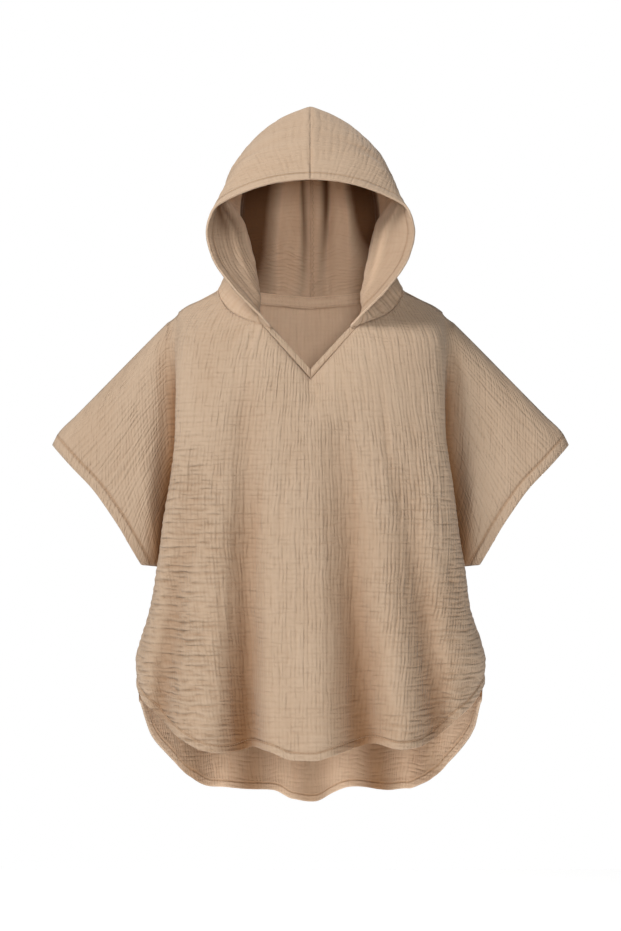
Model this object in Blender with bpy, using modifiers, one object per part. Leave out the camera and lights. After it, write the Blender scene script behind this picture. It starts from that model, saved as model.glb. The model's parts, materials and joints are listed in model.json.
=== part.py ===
"""A child's hooded bath poncho in crinkled double gauze, hollow and filled out as it hangs when worn.

Frame: metres, +Z up. The front faces -Y and +X is to the right of someone looking at the front. The origin
is the middle of the neck, level with the top of the shoulder line, where the wearer holds it up.

Front and back panels have their sleeves cut in one with them. They meet in the plane y = 0 along the
overarms, under the arms and down the sides to the vents. The hood is two halves that meet in the plane x = 0.
"""
import math

import bmesh
import bpy
import numpy as np

COLLECTION_NAME = "hooded_bath_poncho"

# Cloth
WALL = 0.002
SEAM_GAP = 0.0003
BAND_RISE = 0.0121
BAND_LEAN = 0.003
BAND_END = 0.985
TAPE_HEIGHT = 0.016
TAPE_ABOVE_SEAM = 0.006
TAPE_WALL = 0.0012
TAPE_INSET = 0.0048
TAPE_START = 112.0
TAPE_COLUMNS = 21
TAPE_ROWS = (0.0, 0.375, 1.0)
BAND_ROWS = (0.0, 0.5, 1.0)

# Neck opening, seen from above: an oval, deeper at the front
NECK_HALF = 0.121
NECK_FRONT = 0.075
NECK_BACK = 0.062
NECK_EASE = 0.0010
NECK_DROP = 0.0006
NECK_SOFTNESS = 0.30
NECK_BLEND = 0.008
NECK_SOFT_SPAN = 0.04
V_POINT = -0.1184
V_CORNER_X = 0.0625
V_CORNER_Z = -0.0482
BAND_CORNER_X = 0.049
BAND_CORNER_Z = -0.0523

# Body
FOLD_SHARE = 0.78
SHOULDER_HALF = 0.1715
SLEEVE_ROOT_X = 0.186
UNDERARM = -0.362
UNDERARM_ROUNDING = 0.05
SIDE_ROUNDNESS = 2.5
SHOULDER_DROP = 0.095
SLEEVE_ROOT_DROP = 0.050
SHOULDER_ROUND = 2.1
SIDE_HEM_SHARE = 0.015
CLOSING_START = -0.345
CLOSING_SPAN = 0.06

# Sleeve: the hem runs from the tip of the overarm down to the point under the arm
SLEEVE_HALF_DEPTH = 0.034
SLEEVE_ROUND = 2.3
SLEEVE_BLEND = 0.45
UNDERARM_HEM_X = 0.219
UNDERARM_HEM_Z = -0.3585

# Faces along each direction
V_COLUMNS = 5
V_CLEAR_TURN = 5
SIDE_TURN = 90
SIDE_TURN_MARGIN = 1
WIDEST_COLUMN = 0.018
SHOULDER_COLUMNS = 4
TURN_COLUMNS = 4
SLEEVE_COLUMNS = 5
ROWS_ABOVE_UNDERARM = 10
ROWS_BELOW_UNDERARM = 7
ROW_CROWDING = 1.25
HOOD_COLUMNS_A_KNOT = 3
HOOD_ROWS = 16
MERGE_DISTANCE = 0.00002
CUTTER_SIZE = 4

# Levels of the body, from the hem up. half: half width where the side turns back. turn: depth there.
# root, root_depth: where the sleeve's cloth starts, behind that turn. front, back: depth at the middle.
BODY_COLUMNS = ("height", "half", "turn", "root", "root_depth", "front", "back")
BODY = (
    (-0.700, 0.217, 0.016, 0.213, 0.000, 0.134, 0.142),
    (-0.507, 0.2245, 0.016, 0.221, 0.000, 0.126, 0.128),
    (-0.480, 0.2256, 0.016, 0.222, 0.000, 0.125, 0.126),
    (-0.458, 0.2205, 0.017, 0.216, 0.000, 0.123, 0.124),
    (-0.412, 0.2065, 0.024, 0.200, 0.000, 0.120, 0.118),
    (-0.362, 0.1980, 0.036, 0.183, 0.009, 0.115, 0.111),
    (-0.300, 0.1890, 0.047, 0.180, 0.012, 0.109, 0.105),
    (-0.245, 0.1805, 0.053, 0.180, 0.018, 0.104, 0.101),
    (-0.190, 0.1730, 0.054, 0.183, 0.025, 0.100, 0.098),
    (-0.130, 0.1715, 0.048, 0.186, 0.028, 0.094, 0.094),
    (-0.044, 0.1715, 0.032, 0.186, 0.024, 0.084, 0.083),
    (0.010, 0.1715, 0.028, 0.186, 0.022, 0.080, 0.076),
)

# Height of the shoulder line and overarm at each distance from the middle
OVERARM_COLUMNS = ("out", "height")
OVERARM = (
    (0.118, 0.000),
    (0.143, -0.0135),
    (0.160, -0.0215),
    (0.172, -0.0300),
    (0.188, -0.0455),
    (0.2225, -0.0800),
    (0.270, -0.1285),
    (0.305, -0.1640),
    (0.328, -0.1870),
    (0.3355, -0.2015),
)

# Sleeve hem, from the overarm tip (0) to the underarm (1)
SLEEVE_HEM_COLUMNS = ("share", "out", "height")
SLEEVE_HEM = (
    (0.00, 0.3355, -0.2015),
    (0.20, 0.3080, -0.2310),
    (0.40, 0.2810, -0.2590),
    (0.56, 0.2610, -0.2865),
    (0.72, 0.2445, -0.3120),
    (0.87, 0.2315, -0.3355),
    (1.00, 0.2190, -0.3585),
)

# Height of the neck seam round the oval, from the front (0 degrees) to the back (180)
NECK_COLUMNS = ("turn", "height")
NECK = (
    (23.0, -0.0523),
    (31.0, -0.0482),
    (43.0, -0.0412),
    (60.0, -0.0284),
    (68.0, -0.0197),
    (80.0, -0.0082),
    (90.0, -0.0015),
    (110.0, -0.0010),
    (140.0, -0.0060),
    (180.0, -0.0120),
)

# Hem heights across each panel, as shares of its half width: left is negative
HEM_COLUMNS = ("share", "front", "back")
HEM = (
    (-1.00, -0.495, -0.495),
    (-0.985, -0.511, -0.538),
    (-0.94, -0.529, -0.586),
    (-0.87, -0.545, -0.611),
    (-0.80, -0.560, -0.629),
    (-0.72, -0.574, -0.644),
    (-0.60, -0.587, -0.661),
    (-0.47, -0.591, -0.663),
    (-0.36, -0.585, -0.662),
    (-0.24, -0.587, -0.667),
    (-0.10, -0.597, -0.680),
    (0.02, -0.598, -0.681),
    (0.13, -0.592, -0.672),
    (0.25, -0.585, -0.663),
    (0.36, -0.580, -0.660),
    (0.50, -0.585, -0.664),
    (0.60, -0.583, -0.664),
    (0.68, -0.575, -0.655),
    (0.75, -0.563, -0.643),
    (0.82, -0.549, -0.628),
    (0.90, -0.534, -0.605),
    (0.96, -0.517, -0.577),
    (0.985, -0.508, -0.538),
    (1.00, -0.495, -0.495),
)

# Large folds, as troughs that open out towards the hem. x_top, x_hem: place across at their two ends.
# start: height where each begins. width: half width at the hem. depth: at the hem. lean: how far the
# ridge on its left hangs over it.
FOLD_COLUMNS = ("x_top", "x_hem", "start", "width", "depth", "lean")
FRONT_FOLDS = (
    (-0.146, -0.196, -0.190, 0.017, 0.024, 0.000),
    (-0.082, -0.086, -0.110, 0.024, 0.046, 0.009),
    (0.034, 0.066, -0.121, 0.029, 0.044, 0.002),
    (0.110, 0.163, -0.180, 0.022, 0.031, 0.003),
)
BACK_FOLDS = (
    (-0.118, -0.152, -0.180, 0.020, 0.027, 0.000),
    (-0.050, -0.076, -0.120, 0.024, 0.036, 0.004),
    (0.022, 0.004, -0.180, 0.020, 0.023, 0.000),
    (0.075, 0.088, -0.100, 0.025, 0.040, 0.000),
    (0.130, 0.158, -0.240, 0.018, 0.020, 0.000),
)
FOLD_FOOT = -0.60
FOLD_REACH = 1.15
FOLD_NARROWING = 0.25
FOLD_DEEPENING = 1.1
FOLD_FADE = 0.16

# Hood sections, from the neck seam (0) to the seam over the head (1). Each runs from the rim, in to the
# crease behind the flared front edge, out round the side and the corner, to the seam at the back.
HOOD_COLUMNS = (
    "level", "rim_x", "rim_y", "rim_z", "crease_x", "crease_y", "crease_z",
    "side_x", "side_y", "side_z", "corner_x", "corner_y", "corner_z", "back_y", "back_z",
)
HOOD = (
    (0.12, 0.078, -0.077, -0.026, 0.067, -0.046, -0.010, 0.109, 0.004, 0.022,
     0.082, 0.060, 0.018, 0.079, 0.016),
    (0.24, 0.103, -0.081, 0.001, 0.0700, -0.040, 0.012, 0.102, 0.012, 0.042,
     0.084, 0.072, 0.042, 0.094, 0.046),
    (0.38, 0.1255, -0.081, 0.036, 0.0765, -0.037, 0.042, 0.099, 0.018, 0.072,
     0.084, 0.084, 0.074, 0.110, 0.084),
    (0.48, 0.1325, -0.079, 0.066, 0.0860, -0.038, 0.076, 0.103, 0.020, 0.102,
     0.083, 0.090, 0.104, 0.118, 0.116),
    (0.58, 0.1245, -0.079, 0.0955, 0.1115, -0.046, 0.118, 0.107, 0.018, 0.132,
     0.079, 0.088, 0.134, 0.118, 0.147),
    (0.70, 0.088, -0.087, 0.1165, 0.0995, -0.052, 0.147, 0.0945, 0.015, 0.167,
     0.069, 0.081, 0.167, 0.110, 0.178),
    (0.85, 0.044, -0.095, 0.1290, 0.062, -0.056, 0.172, 0.0645, 0.010, 0.2055,
     0.045, 0.069, 0.199, 0.096, 0.202),
    (0.93, 0.021, -0.097, 0.1318, 0.033, -0.057, 0.181, 0.036, 0.009, 0.2250,
     0.024, 0.063, 0.218, 0.089, 0.210),
    (1.00, 0.000, -0.098, 0.1330, 0.000, -0.058, 0.187, 0.000, 0.008, 0.2385,
     0.000, 0.058, 0.233, 0.083, 0.216),
)
HOOD_KNOTS = (0.0, 0.25, 0.50, 0.75, 1.0)
HOOD_TURNS = (23.9, 45.0, 90.0, 135.0, 180.0)
SEAM_HOLD = 0.12

# Colour, roughness, metallic
CLOTH = ((0.58, 0.41, 0.26), 0.9, 0.0)
BAND = ((0.54, 0.37, 0.23), 0.9, 0.0)
TAPE = ((0.50, 0.34, 0.21), 0.9, 0.0)


def through(knots, values, at):
    """A smooth curve through the given values that never overshoots them."""
    knots = np.asarray(knots, float)
    values = np.asarray(values, float)
    at = np.clip(np.asarray(at, float), knots[0], knots[-1])
    steps = np.diff(knots)
    slopes = np.diff(values) / steps
    tangents = np.concatenate([slopes[:1], np.zeros(len(knots) - 2), slopes[-1:]])
    before, after = slopes[:-1], slopes[1:]
    rising = before * after > 0
    tangents[1:-1][rising] = (2 * before * after / (before + after + 1e-12))[rising]
    i = np.clip(np.searchsorted(knots, at, side="right") - 1, 0, len(knots) - 2)
    t = (at - knots[i]) / steps[i]
    start = values[i] * (1 + 2 * t) * (1 - t) ** 2
    end = values[i + 1] * t**2 * (3 - 2 * t)
    bend = steps[i] * (tangents[i] * t * (1 - t) ** 2 + tangents[i + 1] * t**2 * (t - 1))
    return start + end + bend


def reading(table, names, wanted, at):
    """The wanted column of a table, read at any value of its first column."""
    rows = np.array(table)
    return through(rows[:, 0], rows[:, names.index(wanted)], at)


def eased(share):
    share = np.clip(share, 0, 1)
    return share * share * (3 - 2 * share)


def rounded(share, power):
    """0 at 0 and 1 at 1, leaving 0 steeply and arriving level, as a round shoulder does."""
    return (1 - (1 - np.clip(share, 0, 1)) ** power) ** (1 / power)


def panel_neck_depth(x, facing):
    """Depth of a panel's neckline, which is cut a little wider than the hood's."""
    deep = NECK_EASE + (NECK_FRONT if facing < 0 else NECK_BACK)
    return deep * np.sqrt(np.clip(1 - (x / (NECK_HALF + NECK_EASE)) ** 2, 0, 1))


def soft_neck_depth(x, below, facing):
    """The neckline's depth, which rounds off at the shoulder a little below the seam."""
    sharp = panel_neck_depth(x, facing)
    deep = panel_neck_depth(np.zeros_like(x), facing)
    level = np.sqrt((sharp / deep) ** 2 + NECK_SOFTNESS**2) - NECK_SOFTNESS
    soft = deep * level / (math.hypot(1, NECK_SOFTNESS) - NECK_SOFTNESS)
    share = 1 - np.exp(-np.maximum(below, 0) / NECK_BLEND)
    return sharp + (soft - sharp) * share * eased((x - V_CORNER_X) / NECK_SOFT_SPAN)


def top_height(x, facing):
    """Height of a panel's top edge: the neckline near the middle, then the shoulder line."""
    turn = np.degrees(np.arcsin(np.clip(x / NECK_HALF, 0, 1)))
    neck = reading(NECK, NECK_COLUMNS, "height", turn if facing < 0 else 180 - turn)
    shoulder = reading(OVERARM, OVERARM_COLUMNS, "height", x)
    edge = np.where(x < NECK_HALF, neck, shoulder)
    if facing < 0:
        v_edge = V_POINT + (V_CORNER_Z - V_POINT) * x / V_CORNER_X
        edge = np.where(x <= V_CORNER_X + NECK_EASE, v_edge, edge)
    return edge - np.where(x < NECK_HALF, NECK_DROP, 0.0)


def folded(x, height, folds):
    """How far the large folds push the cloth in, and how far they lean sideways."""
    pushed = np.zeros_like(x)
    leaned = np.zeros_like(x)
    for row in folds:
        fold = dict(zip(FOLD_COLUMNS, row))
        down = (fold["start"] - height) / (fold["start"] - FOLD_FOOT)
        down = np.clip(down, 0, FOLD_REACH)
        middle = fold["x_top"] + (fold["x_hem"] - fold["x_top"]) * down
        spread = fold["width"] * (1 - FOLD_NARROWING * (1 - down))
        trough = np.exp(-(((x - middle) / spread) ** 2)) * down**FOLD_DEEPENING
        pushed += fold["depth"] * trough
        leaned += fold["lean"] * trough
    return pushed, leaned


def body_point(across, down, facing):
    """A point of the body. across: -1 to 1 over its width. down: 0 top edge, 1 underarm, 2 hem."""
    out = np.abs(across)
    side = np.sign(across)
    round_share = np.sin(np.clip(out / FOLD_SHARE, 0, 1) * math.pi / 2)
    behind = np.clip((out - FOLD_SHARE) / (1 - FOLD_SHARE), 0, 1)

    top_x = SHOULDER_HALF * round_share + (SLEEVE_ROOT_X - SHOULDER_HALF) * behind
    top = top_height(top_x, facing)
    hem_share = side * ((1 - SIDE_HEM_SHARE) * round_share + SIDE_HEM_SHARE * behind)
    hem = reading(HEM, HEM_COLUMNS, "front" if facing < 0 else "back", hem_share)
    height = np.where(
        down <= 1, top + (UNDERARM - top) * down, UNDERARM + (hem - UNDERARM) * (down - 1)
    )

    half, turn, root, root_depth, middle = (
        reading(BODY, BODY_COLUMNS, name, height)
        for name in ("half", "turn", "root", "root_depth", "front" if facing < 0 else "back")
    )
    root_depth = root_depth * rounded((height - UNDERARM) / UNDERARM_ROUNDING, 2)
    x = half * round_share
    bow = np.clip(1 - round_share**SIDE_ROUNDNESS, 0, 1) ** (1 / SIDE_ROUNDNESS)
    depth = turn + (middle - turn) * bow

    # Behind the turn, the cloth swings in to where the sleeve, or below it the side seam, takes over.
    closing = eased((CLOSING_START - height) / CLOSING_SPAN) * math.pi / 2
    reach = 0.5 * np.hypot(root - half, root_depth - turn)
    t = behind
    bends = (3 * t * (1 - t) ** 2, 3 * t**2 * (1 - t))
    swing_x = half * (1 - t) ** 3 + half * bends[0] + root * t**3
    swing_x += (root - reach * np.cos(closing)) * bends[1]
    swing_depth = turn * (1 - t) ** 3 + (turn - reach) * bends[0] + root_depth * t**3
    swing_depth += (root_depth + reach * np.sin(closing)) * bends[1]
    x = np.where(out > FOLD_SHARE, swing_x, x)
    depth = np.where(out > FOLD_SHARE, swing_depth, depth)

    # The panel leaves its top edge level over the shoulder and then turns down.
    top_depth = soft_neck_depth(top_x, top - height, facing)
    drop = SHOULDER_DROP + (SLEEVE_ROOT_DROP - SHOULDER_DROP) * eased(top_x / SLEEVE_ROOT_X)
    depth = top_depth + (depth - top_depth) * rounded((top - height) / drop, SHOULDER_ROUND)

    pushed, leaned = folded(side * x, height, FRONT_FOLDS if facing < 0 else BACK_FOLDS)
    fade = eased((FOLD_SHARE - out) / FOLD_FADE)
    return side * x + leaned * fade, facing * (depth - pushed * fade), height


def sleeve_point(out, down, side, facing):
    """A point of a sleeve. out: 0 at the body, 1 at the hem. down: 0 overarm, 1 underarm."""
    root_x, root_y, root_z = body_point(np.full_like(out, 1.0), down, facing)
    over_x = SLEEVE_ROOT_X + (OVERARM[-1][0] - SLEEVE_ROOT_X) * out
    over_z = reading(OVERARM, OVERARM_COLUMNS, "height", over_x)
    hem_x = reading(SLEEVE_HEM, SLEEVE_HEM_COLUMNS, "out", down)
    hem_z = reading(SLEEVE_HEM, SLEEVE_HEM_COLUMNS, "height", down)
    under_root = reading(BODY, BODY_COLUMNS, "root", UNDERARM)
    under_x = under_root + (UNDERARM_HEM_X - under_root) * out
    under_z = UNDERARM + (UNDERARM_HEM_Z - UNDERARM) * out
    overarm_top = OVERARM[-1]
    root_top_z = top_height(np.array(SLEEVE_ROOT_X), facing)

    def patch(root, hem, over, under, corners):
        flat = (1 - out) * root + out * hem + (1 - down) * over + down * under
        at_root, at_tip, at_under, at_hem = corners
        return flat - (
            (1 - out) * ((1 - down) * at_root + down * at_under)
            + out * ((1 - down) * at_tip + down * at_hem)
        )

    x = patch(root_x, hem_x, over_x, under_x,
              (SLEEVE_ROOT_X, overarm_top[0], under_root, UNDERARM_HEM_X))
    z = patch(root_z, hem_z, over_z, under_z,
              (root_top_z, overarm_top[1], UNDERARM, UNDERARM_HEM_Z))
    tube = (1 - np.abs(2 * down - 1) ** SLEEVE_ROUND) ** (1 / SLEEVE_ROUND)
    blend = eased(out / SLEEVE_BLEND)
    y = root_y * (1 - blend) + facing * SLEEVE_HALF_DEPTH * tube * blend
    return side * x, y, z


def neck_point(turn):
    """A point of the neck seam, at a number of degrees round from the front."""
    angle = np.radians(turn)
    deep = np.where(turn < 90, NECK_FRONT, NECK_BACK)
    height = reading(NECK, NECK_COLUMNS, "height", turn)
    return NECK_HALF * np.sin(angle), -deep * np.cos(angle), height


def hood_point(around, up):
    """A point of the right half of the hood. around: 0 rim, 1 back. up: 0 neck seam, 1 seam over the head."""
    bottom = [neck_point(np.array(turn)) for turn in HOOD_TURNS]
    bottom_row = [0.0]
    for x, y, z in bottom[:-1]:
        bottom_row += [float(x), float(y), float(z)]
    bottom_row += [float(bottom[-1][1]), float(bottom[-1][2])]
    table = (tuple(bottom_row),) + HOOD
    knots = {}
    for axis in "xyz":
        names = [f"{place}_{axis}" for place in ("rim", "crease", "side", "corner")]
        columns = [reading(table, HOOD_COLUMNS, name, up) for name in names]
        if axis == "x":
            columns.append(np.zeros_like(up))
        else:
            columns.append(reading(table, HOOD_COLUMNS, f"back_{axis}", up))
        knots[axis] = columns
    point = [spline(HOOD_KNOTS, knots[axis], around) for axis in "xyz"]
    # Next to the neck the hood follows the seam's own curve exactly.
    seam = neck_point(through(HOOD_KNOTS, HOOD_TURNS, around))
    hold = (1 - np.clip(up / SEAM_HOLD, 0, 1)) ** 2
    return [p * (1 - hold) + s * hold for p, s in zip(point, seam)]


def spline(knots, values, at):
    """A Catmull-Rom curve whose values differ from point to point."""
    knots = np.asarray(knots)
    values = np.array(values)
    gaps = np.diff(knots)
    slopes = np.diff(values, axis=0) / gaps[:, None, None]
    inner = (slopes[:-1] * gaps[1:, None, None] + slopes[1:] * gaps[:-1, None, None])
    inner = inner / (gaps[:-1] + gaps[1:])[:, None, None]
    tangents = np.concatenate([slopes[:1], inner, slopes[-1:]])
    i = np.clip(np.searchsorted(knots, at, side="right") - 1, 0, len(knots) - 2)
    rows, columns = np.indices(at.shape)
    t = (at - knots[i]) / gaps[i]
    here, there = values[i, rows, columns], values[i + 1, rows, columns]
    leaving = tangents[i, rows, columns] * gaps[i]
    arriving = tangents[i + 1, rows, columns] * gaps[i]
    return (
        here * (1 + 2 * t) * (1 - t) ** 2 + there * t**2 * (3 - 2 * t)
        + leaving * t * (1 - t) ** 2 + arriving * t**2 * (t - 1)
    )


def add_sheet(bm, x, y, z, flip=False):
    """Adds one grid of cloth to a mesh, with its corners placed by x, y and z."""
    rows, columns = x.shape
    grid = bmesh.ops.create_grid(bm, x_segments=columns - 1, y_segments=rows - 1, size=1)
    for vert, place in zip(grid["verts"], zip(x.flat, y.flat, z.flat)):
        vert.co = place
    if flip:
        faces = list({face for vert in grid["verts"] for face in vert.link_faces})
        bmesh.ops.reverse_faces(bm, faces=faces)


def cloth_mesh(name, sheets):
    """One mesh from sheets that share their seams, facing out."""
    bm = bmesh.new()
    for x, y, z, flip in sheets:
        add_sheet(bm, x, y, z, flip)
    bmesh.ops.remove_doubles(bm, verts=bm.verts, dist=MERGE_DISTANCE)
    mesh = bpy.data.meshes.new(name)
    bm.to_mesh(mesh)
    bm.free()
    mesh.shade_smooth()
    return mesh


def hood_columns():
    return np.linspace(0, 1, HOOD_COLUMNS_A_KNOT * (len(HOOD_KNOTS) - 1) + 1)


def body_columns(facing):
    """Columns of a panel: at the hood's own columns along the neck, then over shoulder and side."""
    turns = through(HOOD_KNOTS, HOOD_TURNS, hood_columns())
    if facing < 0:
        v_turns = np.degrees(np.arcsin(np.linspace(0, V_CORNER_X, V_COLUMNS + 1) / NECK_HALF))
        beyond = turns > v_turns[-1] + V_CLEAR_TURN
        beyond &= turns < SIDE_TURN - SIDE_TURN_MARGIN
        turns = np.concatenate([v_turns, turns[beyond]])
    else:
        turns = 180 - turns[turns > SIDE_TURN + SIDE_TURN_MARGIN][::-1]
    neck = (NECK_HALF + NECK_EASE) * np.sin(np.radians(turns))
    wide = np.flatnonzero(np.diff(neck) > WIDEST_COLUMN)
    neck = np.sort(np.concatenate([neck, (neck[wide] + neck[wide + 1]) / 2]))
    shoulder = np.linspace(NECK_HALF + NECK_EASE, SHOULDER_HALF, SHOULDER_COLUMNS + 1)
    to_turn = FOLD_SHARE * 2 / math.pi * np.arcsin(np.concatenate([neck, shoulder]) / SHOULDER_HALF)
    half = np.concatenate([to_turn, np.linspace(FOLD_SHARE, 1, TURN_COLUMNS + 1)[1:]])
    return np.concatenate([-half[:0:-1], half])


def garment_mesh():
    """Front and back with their sleeves, joined all round, to be parted at the seams."""
    sheets = []
    down = np.concatenate([
        np.linspace(0, 1, ROWS_ABOVE_UNDERARM + 1) ** ROW_CROWDING,
        1 + np.linspace(0, 1, ROWS_BELOW_UNDERARM + 1)[1:],
    ])
    out = np.linspace(0, 1, SLEEVE_COLUMNS + 1)
    for facing in (-1, 1):
        a, d = np.meshgrid(body_columns(facing), down)
        sheets.append((*body_point(a, d, facing), facing < 0))
        o, d = np.meshgrid(out, down[: ROWS_ABOVE_UNDERARM + 1])
        for side in (-1, 1):
            sheets.append((*sleeve_point(o, d, side, facing), side * facing < 0))
    return cloth_mesh("garment", sheets)


def hood_mesh():
    """Both halves of the hood, joined along the middle, to be parted there."""
    around, up = np.meshgrid(hood_columns(), np.linspace(0, 1, HOOD_ROWS + 1))
    x, y, z = hood_point(around, up)
    return cloth_mesh("hood", [(x, y, z, False), (-x, y, z, True)])


def band_mesh(side):
    """One arm of the band round the V, from its point up to the corner of the hood."""
    gap = 0.5 * SEAM_GAP
    along, over = np.meshgrid(np.linspace(0, BAND_END, V_COLUMNS + 1), BAND_ROWS)
    outer_x = gap + (V_CORNER_X - gap) * along
    inner_x = gap + (BAND_CORNER_X - gap) * along
    x = outer_x + (inner_x - outer_x) * over
    outer_z = V_POINT + (V_CORNER_Z - V_POINT) * along
    inner_z = V_POINT + BAND_RISE + (BAND_CORNER_Z - V_POINT - BAND_RISE) * along
    z = outer_z + (inner_z - outer_z) * over
    y = -panel_neck_depth(outer_x, -1) + BAND_LEAN * over
    return cloth_mesh("v_band", [(side * x, y, z, side < 0)])


def tape_mesh():
    """The tape inside the back of the neck, on the inner side of both cloths at the seam."""
    turns, over = np.meshgrid(np.linspace(TAPE_START, 360 - TAPE_START, TAPE_COLUMNS), TAPE_ROWS)
    mirrored = np.where(turns > 180, 360 - turns, turns)
    x, y, z = neck_point(mirrored)
    inside = TAPE_INSET / np.hypot(x, y)
    x = np.where(turns > 180, -x, x)
    z = z + TAPE_ABOVE_SEAM - TAPE_HEIGHT * over
    return cloth_mesh("neck_tape", [(x * (1 - inside), y * (1 - inside), z, True)])


def material(name, look):
    colour, roughness, metallic = look
    mat = bpy.data.materials.new(name)
    mat.use_nodes = True
    shader = mat.node_tree.nodes["Principled BSDF"]
    shader.inputs["Base Color"].default_value = (*colour, 1)
    shader.inputs["Roughness"].default_value = roughness
    shader.inputs["Metallic"].default_value = metallic
    mat.diffuse_color = (*colour, 1)
    return mat


def piece(name, mesh, look, wall, collection):
    """A named piece of cloth: an open surface given its thickness inwards."""
    obj = bpy.data.objects.new(name, mesh)
    collection.objects.link(obj)
    obj.data.materials.clear()
    obj.data.materials.append(material(name, look))
    shell = obj.modifiers.new("wall", "SOLIDIFY")
    shell.thickness = wall
    shell.offset = -1
    return obj


def half_space(name, axis, side, collection):
    """A box that holds everything on one side of a seam plane, half a gap from it."""
    bpy.ops.mesh.primitive_cube_add(size=CUTTER_SIZE)
    box = bpy.context.object
    box.name = name
    box.location[axis] = side * (CUTTER_SIZE + SEAM_GAP) / 2
    for owner in list(box.users_collection):
        owner.objects.unlink(box)
    collection.objects.link(box)
    box.hide_render = True
    box.display_type = "WIRE"
    return box


def part_at_seam(obj, box):
    """Keeps only what lies on one side of the seam."""
    cut = obj.modifiers.new("seam", "BOOLEAN")
    cut.operation = "INTERSECT"
    cut.object = box


def main():
    for obj in list(bpy.data.objects):
        bpy.data.objects.remove(obj)
    parts = bpy.data.collections.new(COLLECTION_NAME)
    cutters = bpy.data.collections.new("cutters")
    bpy.context.scene.collection.children.link(parts)
    bpy.context.scene.collection.children.link(cutters)

    for name, facing in (("front_panel", -1), ("back_panel", 1)):
        panel = piece(name, garment_mesh(), CLOTH, WALL, parts)
        part_at_seam(panel, half_space(f"{name}_side", 1, facing, cutters))
    for name, side in (("hood_left", -1), ("hood_right", 1)):
        half = piece(name, hood_mesh(), CLOTH, WALL, parts)
        part_at_seam(half, half_space(f"{name}_side", 0, side, cutters))
    for name, side in (("v_band_left", -1), ("v_band_right", 1)):
        piece(name, band_mesh(side), BAND, WALL, parts)
    piece("neck_tape", tape_mesh(), TAPE, TAPE_WALL, parts)


main()
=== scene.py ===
# %% [markdown]
# # A child's hooded bath poncho in crinkled double gauze
# The garment is a front and a back panel with the sleeves cut in one with them, a hood of two
# halves, a narrow band round the V of the neck and a tape that covers the seam inside the back
# neck. The CAD frame holds the plain form. This lesson lays fine cloth over that form, gives it
# the puckers of double gauze, then hems, stitches, colours and lights it for the camera.

# %% Load the frame
import json
import math

import bmesh
import bpy
import numpy as np
from mathutils import Matrix, Vector
from mathutils.kdtree import KDTree

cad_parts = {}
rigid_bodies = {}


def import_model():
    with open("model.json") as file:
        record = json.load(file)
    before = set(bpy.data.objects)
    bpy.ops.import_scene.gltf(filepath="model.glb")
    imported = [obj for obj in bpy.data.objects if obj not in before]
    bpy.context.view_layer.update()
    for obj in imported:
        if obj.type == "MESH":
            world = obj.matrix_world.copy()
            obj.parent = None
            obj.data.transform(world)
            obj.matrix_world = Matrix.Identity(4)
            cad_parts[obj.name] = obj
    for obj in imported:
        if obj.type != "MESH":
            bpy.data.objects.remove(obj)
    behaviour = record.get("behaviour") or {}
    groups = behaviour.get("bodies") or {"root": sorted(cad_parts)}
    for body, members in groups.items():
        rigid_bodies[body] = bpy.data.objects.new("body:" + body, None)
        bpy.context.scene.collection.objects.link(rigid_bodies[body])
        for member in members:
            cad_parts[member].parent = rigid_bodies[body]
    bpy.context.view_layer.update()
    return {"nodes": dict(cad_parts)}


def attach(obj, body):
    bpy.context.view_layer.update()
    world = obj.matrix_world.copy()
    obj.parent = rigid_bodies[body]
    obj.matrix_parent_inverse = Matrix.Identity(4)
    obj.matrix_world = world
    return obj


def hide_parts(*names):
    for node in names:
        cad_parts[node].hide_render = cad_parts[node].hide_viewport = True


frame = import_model()
print("CAD pieces:", sorted(frame["nodes"]))

# %% [markdown]
# The camera looks straight at the front, level with the middle of the garment. A long lens from
# 3.2 m keeps the outline close to its true shape. The lens follows from the width that the view
# takes in at the garment's middle, so nothing is tuned by eye.

# %% Camera
CAMERA_DISTANCE = 3.2
CAMERA_HEIGHT = -0.229
VIEW_WIDTH = 0.8073
SENSOR_WIDTH = 36.0

camera_data = bpy.data.cameras.new("camera")
camera_data.sensor_fit = "HORIZONTAL"
camera_data.sensor_width = SENSOR_WIDTH
camera_data.lens = SENSOR_WIDTH * CAMERA_DISTANCE / VIEW_WIDTH
camera = bpy.data.objects.new("camera", camera_data)
camera.location = (0, -CAMERA_DISTANCE, CAMERA_HEIGHT)
camera.rotation_euler = (math.pi / 2, 0, 0)
bpy.context.scene.collection.objects.link(camera)
bpy.context.scene.camera = camera
print(f"lens {camera_data.lens:.1f} mm")

# %% [markdown]
# Soft studio light: one lamp high on the left rakes down across the cloth and gives it its shape,
# one in front lights it evenly, a weak one on the right opens the shadows, and one behind lifts
# the shoulders off the backdrop. A narrow spotlight looks into the hood, which would be a dark
# hole without it.

# %% Lamps
LAMPS = (
    # name, place, width, power in watts
    ("key_lamp", (-2.1, -1.6, 2.5), 1.1, 98.0),
    ("front_lamp", (0.3, -3.6, 0.1), 0.8, 38.0),
    ("right_lamp", (2.6, -1.4, 0.6), 2.0, 5.0),
    ("back_lamp", (0.4, 1.8, 2.2), 1.8, 16.0),
)
AIM = Vector((0, 0, -0.2))
SPOT_PLACE = Vector((0.02, -3.0, -0.16))
SPOT_AIM = Vector((0, 0.05, 0.005))
SPOT_WIDTH = 0.21
SPOT_POWER = 62.0


def add_lamp(name, place, width, power):
    """A square lamp that faces the garment."""
    data = bpy.data.lights.new(name, "AREA")
    data.size = width
    data.energy = power
    lamp = bpy.data.objects.new(name, data)
    lamp.location = place
    lamp.rotation_euler = (AIM - Vector(place)).to_track_quat("-Z", "Y").to_euler()
    bpy.context.scene.collection.objects.link(lamp)


for lamp_facts in LAMPS:
    add_lamp(*lamp_facts)

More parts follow.
